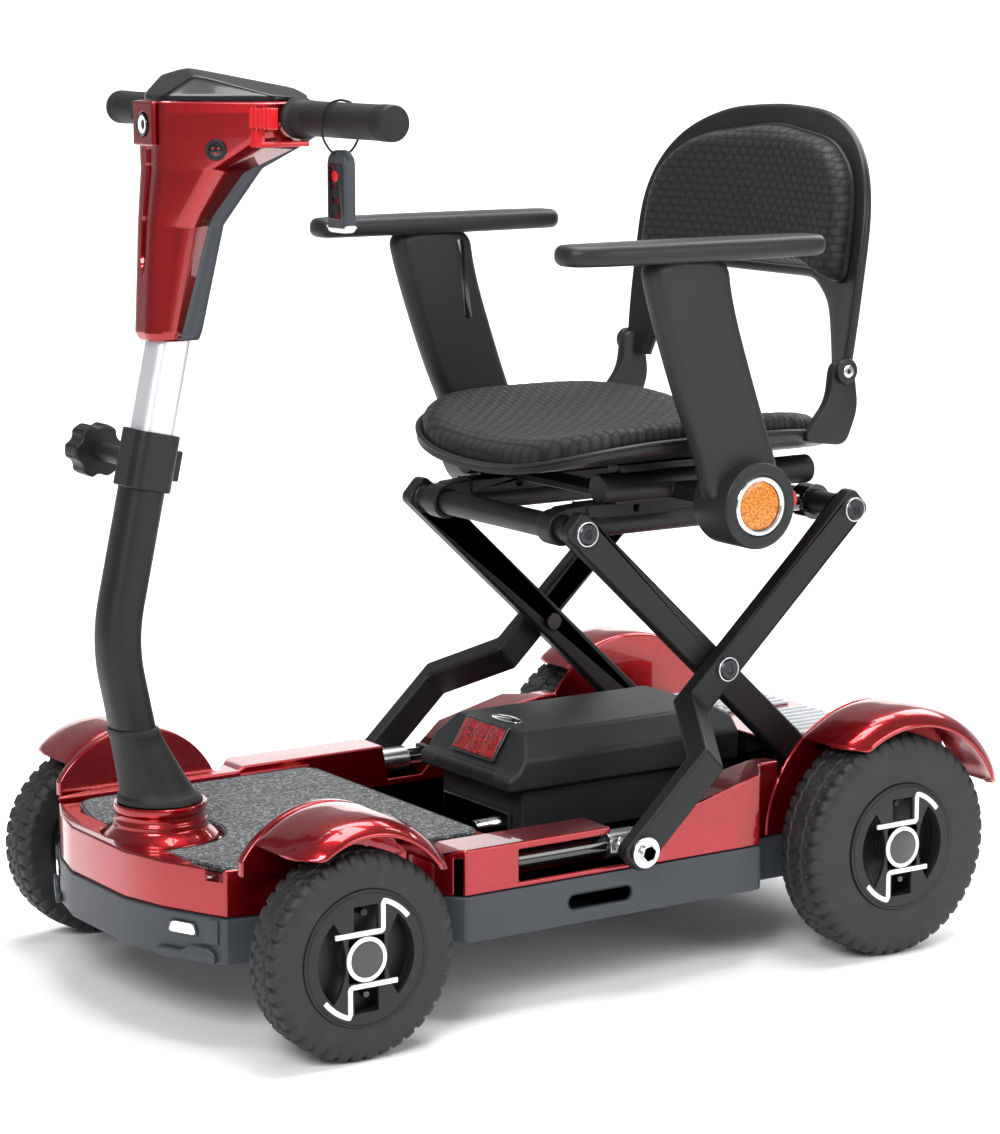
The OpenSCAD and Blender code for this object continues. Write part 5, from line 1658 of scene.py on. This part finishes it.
@dataclass
class Backrest:
    """Moulded arch with its woven pad and hinge screws."""

    palette: Palette
    half: float = 196.0
    height: float = 274.0
    hinge: tuple = (309.5, 598.0)
    lean: float = 8.0
    cell: float = 15.0

    def bow(self, u: Array, v: Array) -> Array:
        """How far the curved section lies behind the hinge line: most in the middle, less towards the sides."""
        return 26 - 30 * (np.abs(u) / self.half) ** 1.93

    def pose(self, obj: bpy.types.Object) -> bpy.types.Object:
        """Leans a piece that was built upright and puts it on the hinge line.

        Args:
            obj: The piece, whose origin is the hinge.

        Returns:
            The piece.
        """
        a = math.radians(-self.lean)
        x, y, z = points_of(obj).T
        turned = np.stack([x, self.hinge[0] + y * math.cos(a) - z * math.sin(a),
                           self.hinge[1] + y * math.sin(a) + z * math.cos(a)], -1)
        set_points(obj, turned)
        obj.data.update()
        return obj

    def build(self) -> None:
        """Builds the backrest.

        The arch's section runs between a smoothed outer and inner line, with rounded edges, and is
        bowed like the pad's base.
        """
        p, w, h = self.palette, self.half, self.height
        outer = [[w - 4, -14], [w, 40], [w, h - 110], [w - 16, h - 66], [w - 50, h - 30],
                 [w - 110, h - 6], [0, h]]
        inner = [[w - 34, -14], [w - 44, 20], [w - 62, 66], [w - 100, 92], [0, 92]]
        sides = []
        for half in (outer, inner):
            line = np.array(half + [[-x, z] for x, z in half[-2::-1]], float)
            fine = resample(line, 400, False)
            relax(fine, 220)
            sides.append(resample(fine, 150, False))
        edge, half_wall = 7.0, 6.0
        a = np.linspace(0, math.pi / 2, 6)
        span = np.linalg.norm(sides[0] - sides[1], axis=1)[:, None]
        near = edge * (1 - np.cos(a)) / np.maximum(span, 20)
        flat = np.broadcast_to(np.linspace(0.3, 0.7, 7), (150, 7))
        t = np.hstack([near, flat, 1 - near[:, ::-1]])
        round_off = half_wall - half_wall * np.sin(a)
        depth = np.concatenate([round_off, np.zeros(7), round_off[::-1]])
        t = np.hstack([t, t[:, -2:0:-1]])
        depth = np.concatenate([depth, 2 * half_wall - depth[-2:0:-1]])
        point = sides[1][:, None] * (1 - t[..., None]) + sides[0][:, None] * t[..., None]
        u, v = point[..., 0], point[..., 1]
        loops = np.stack([u, self.bow(u, v) + depth[None], v], -1)
        arch = loft("back_arch", loops, sharp=50)
        fit(self.pose(arch), "backrest", p.black, "black_plastic", "back_frame")
        c = w - 24
        pad_line = [[0, h - 24], [-c + 60, h - 40], [-c + 16, h - 70], [-c, h - 110], [-c, 84],
                    [-c + 60, 104], [c - 60, 104], [c, 84], [c, h - 110], [c - 16, h - 70], [c - 60, h - 40]]
        outline = resample(fillet(pad_line[::-1], 30, 9), 360)
        pad = padding("back_pad", outline, (0.0, 172.0), self.bow, -0.6, -25.0, -8.0, 22.0, Axis.Y,
                      lambda u, v: woven(u, v, self.cell), 110)
        fit(self.pose(pad), "backrest", p.back, "weave_vinyl", "back_cushion")
        ridge = place(outline, self.bow(outline[:, 0], outline[:, 1]) - 2.6, Axis.Y)
        rim = sweep("back_rim", ridge, oval(3.4, 3.2, 8), (0, 1, 0), True)
        fit(self.pose(rim), "backrest", p.black, "black_plastic")
        y, z = self.hinge
        for s, label in SIDES:
            boss = disc("hinge_boss_" + label, 13.0, -8.0, 0.0, (s * 196.0, y, z), (float(s), 0, 0), 1.4)
            fit(boss, "backrest", p.black, "black_plastic")
            screw = disc("hinge_screw_" + label, 6.5, -0.5, 1.6, (s * 196.0, y, z), (float(s), 0, 0), 0.8, 2.4)
            fit(screw, "backrest", p.chrome, "rod_steel")


@dataclass
class Armrest:
    """One armrest: round hub, blade post and flat pad, with a plated ring and a reflector."""

    palette: Palette
    side: int
    label: str
    pivot: tuple = (147.5, 480.0)
    foot: float = 206.0

    def build(self) -> None:
        """Builds the armrest."""
        p, s, (y, z) = self.palette, self.side, self.pivot
        body, axis = self.label + "_armrest", (float(self.side), 0.0, 0.0)
        at = (s * self.foot, y, z)
        hub = fillet([[8.2, 0], [43.5, 0], [43.5, 56], [31, 56], [30, 52.2], [8.2, 52.2]], 4.5, 6)
        fit(revolve("hub_" + self.label, hub, at, axis, 96), body, p.arm, "black_plastic", body)
        top = 724.0
        blade = fillet([[y - 46, z - 6], [y + 46, z - 6], [y + 36, z + 44], [y + 14, z + 100],
                        [y - 20, z + 200], [y - 27, top + 8], [y - 128, top + 8], [y - 116, z + 200],
                        [y - 81, z + 100], [y - 58, z + 50]], 60, 9)
        low, high = sorted((s * (self.foot + 12), s * (self.foot + 40)))
        fit(slab("post_" + self.label, blade, low, high, Axis.X, 13, 9), body, p.arm, "black_plastic")
        slot = fillet([[y - 50, z + 237], [y - 40, z + 237], [y - 28, z + 150], [y - 38, z + 150]], 4)
        low, high = sorted((s * (self.foot + 11.2), s * (self.foot + 15)))
        insert = slab("post_slot_" + self.label, slot, low, high, Axis.X, 0.6)
        fit(insert, body, p.gloss, "black_plastic")
        plan = [[10, 0], [36, 0], [48, 14], [56, 50], [56, 200], [50, 300], [40, 310], [14, 310], [6, 300],
                [0, 200], [0, 50], [2, 14]]
        plan = fillet(plan, 30, 8) * [s, 1] + [s * (self.foot + 1), -73.5]
        if s < 0:
            plan = plan[::-1]
        pad = slab("arm_pad_" + self.label, resample(plan, 160), top, 744.6, Axis.Z, 8.5, 7, 45, 1.2)
        fit(pad, body, p.arm, "black_plastic")
        ring = np.array([[24.6, 51.5], [29.9, 51.5], [29.9, 54.8], [29, 55.8], [26, 55.8], [24.6, 54.6]])
        fit(revolve("hub_ring_" + self.label, ring, at, axis, 96), body, p.chrome, "rod_steel")
        r = np.linspace(24, 0.05, 12)
        rise = 52.6 + 2.2 * (1 - (r / 24) ** 2) ** 0.5
        dome = np.column_stack([np.concatenate([[0.05, 24], r]), np.concatenate([[51.5, 51.5], rise])])
        lens = revolve("hub_reflector_" + self.label, dome, at, axis, 64)
        fit(lens, body, p.amber, "amber_reflector", self.label + "_reflector")


@dataclass
class Studio:
    """Camera, floor and lights, in metres."""

    azimuth: float = 56.5
    elevation: float = 9.8
    place: tuple = (2.8308, -1.8626, 0.981)
    lens: float = 105.6
    sensor: float = 36.0
    sky: float = 0.34
    flat_end: float = 3.4
    bend: float = 1.2
    wall_top: float = 1.7

    def camera(self) -> None:
        """Sets the camera at the viewing angle."""
        data = bpy.data.cameras.new("camera")
        data.lens, data.sensor_width = self.lens, self.sensor
        camera = add_object("camera", data)
        a, e = math.radians(self.azimuth), math.radians(self.elevation)
        back = Vector((math.sin(a) * math.cos(e), -math.cos(a) * math.cos(e), math.sin(e)))
        camera.location = self.place
        camera.rotation_euler = (-back).to_track_quat("-Z", "Y").to_euler()
        bpy.context.scene.camera = camera

    def lamp(self, name: str, place: tuple, size: float, power: float, aim: tuple = (0, 0, 0.45)) -> None:
        """Adds a square area light.

        Args:
            name: The light's name.
            place: Where it stands.
            size: Length of its side.
            power: Its power in watts.
            aim: The point that it faces.
        """
        data = bpy.data.lights.new(name, "AREA")
        data.energy, data.size = power, size
        obj = add_object(name, data)
        obj.location = place
        obj.rotation_euler = (Vector(aim) - Vector(place)).to_track_quat("-Z", "Y").to_euler()

    def build(self) -> None:
        """Makes a pale floor that curves up behind into a wall, a soft world and soft lamps.

        The floor's section runs flat along the line of sight, then a quarter circle, then straight up.
        """
        a = math.radians(self.azimuth)
        ahead, across = np.array([-math.sin(a), math.cos(a)]), np.array([math.cos(a), math.sin(a)])
        turn = np.linspace(0, math.pi / 2, 25)
        run = np.concatenate([[-8.0], self.flat_end + self.bend * np.sin(turn), [self.flat_end + self.bend]])
        rise = np.concatenate([[0.0], self.bend - self.bend * np.cos(turn), [self.wall_top]])
        side = np.array([-10.0, 10.0])
        flat = run[:, None, None] * ahead + side[None, :, None] * across
        height = np.broadcast_to(rise[:, None, None], (len(run), 2, 1))
        points = np.concatenate([flat, height], -1).reshape(-1, 3)
        mesh = bpy.data.meshes.new("floor")
        mesh.from_pydata(points.tolist(), [], grid_faces(len(run), 2, False, False).tolist())
        shade(mesh, 60)
        floor = add_object("floor", mesh)
        pale = Finish("pale_floor", Base_Color=(0.95, 0.95, 0.955, 1), Roughness=0.85)
        pale.dress(floor)
        bpy.context.scene.view_settings.view_transform = "Standard"
        world = bpy.data.worlds.new("studio")
        world.use_nodes = True
        sky = world.node_tree.nodes["Background"]
        sky.inputs["Color"].default_value = (0.97, 0.98, 1.0, 1)
        sky.inputs["Strength"].default_value = self.sky
        bpy.context.scene.world = world
        for name, place, size, power in (
            ("key", (2.2, -2.6, 2.6), 1.5, 115), ("fill", (3.2, 1.6, 1.6), 1.8, 50),
            ("back", (-0.6, 2.6, 2.4), 1.6, 55), ("top", (0.2, 0.1, 3.0), 1.4, 62)):
            self.lamp(name, place, size, power)
        wall = ahead * 2.2
        self.lamp("wall", (wall[0], wall[1], 4.2), 3.0, 210, (ahead[0] * 4.4, ahead[1] * 4.4, 1.0))


def main() -> None:
    """Builds the camera and the cord first, then each sub-assembly."""
    studio = Studio()
    studio.camera()
    palette = Palette()
    head = Head(palette)
    head.fob()
    studio.build()
    Chassis(palette).build()
    front, rear = PLAN.front_axle, PLAN.rear_axle
    for s, label in SIDES:
        Wheel("front_" + label, s, s * 261.0, front, 200.0, 52.0, f"front_{label}_wheel").build(palette)
        Wheel("rear_" + label, s, s * 260.0, rear, 232.0, 64.0, f"rear_{label}_wheel", 44).build(palette)
    Battery(palette).build()
    Steering(palette).build()
    head.build()
    FoldingFrame(palette).build()
    Seat(palette).build()
    Backrest(palette).build()
    for s, label in SIDES:
        Armrest(palette, s, label).build()


if __name__ == "__main__":
    main()
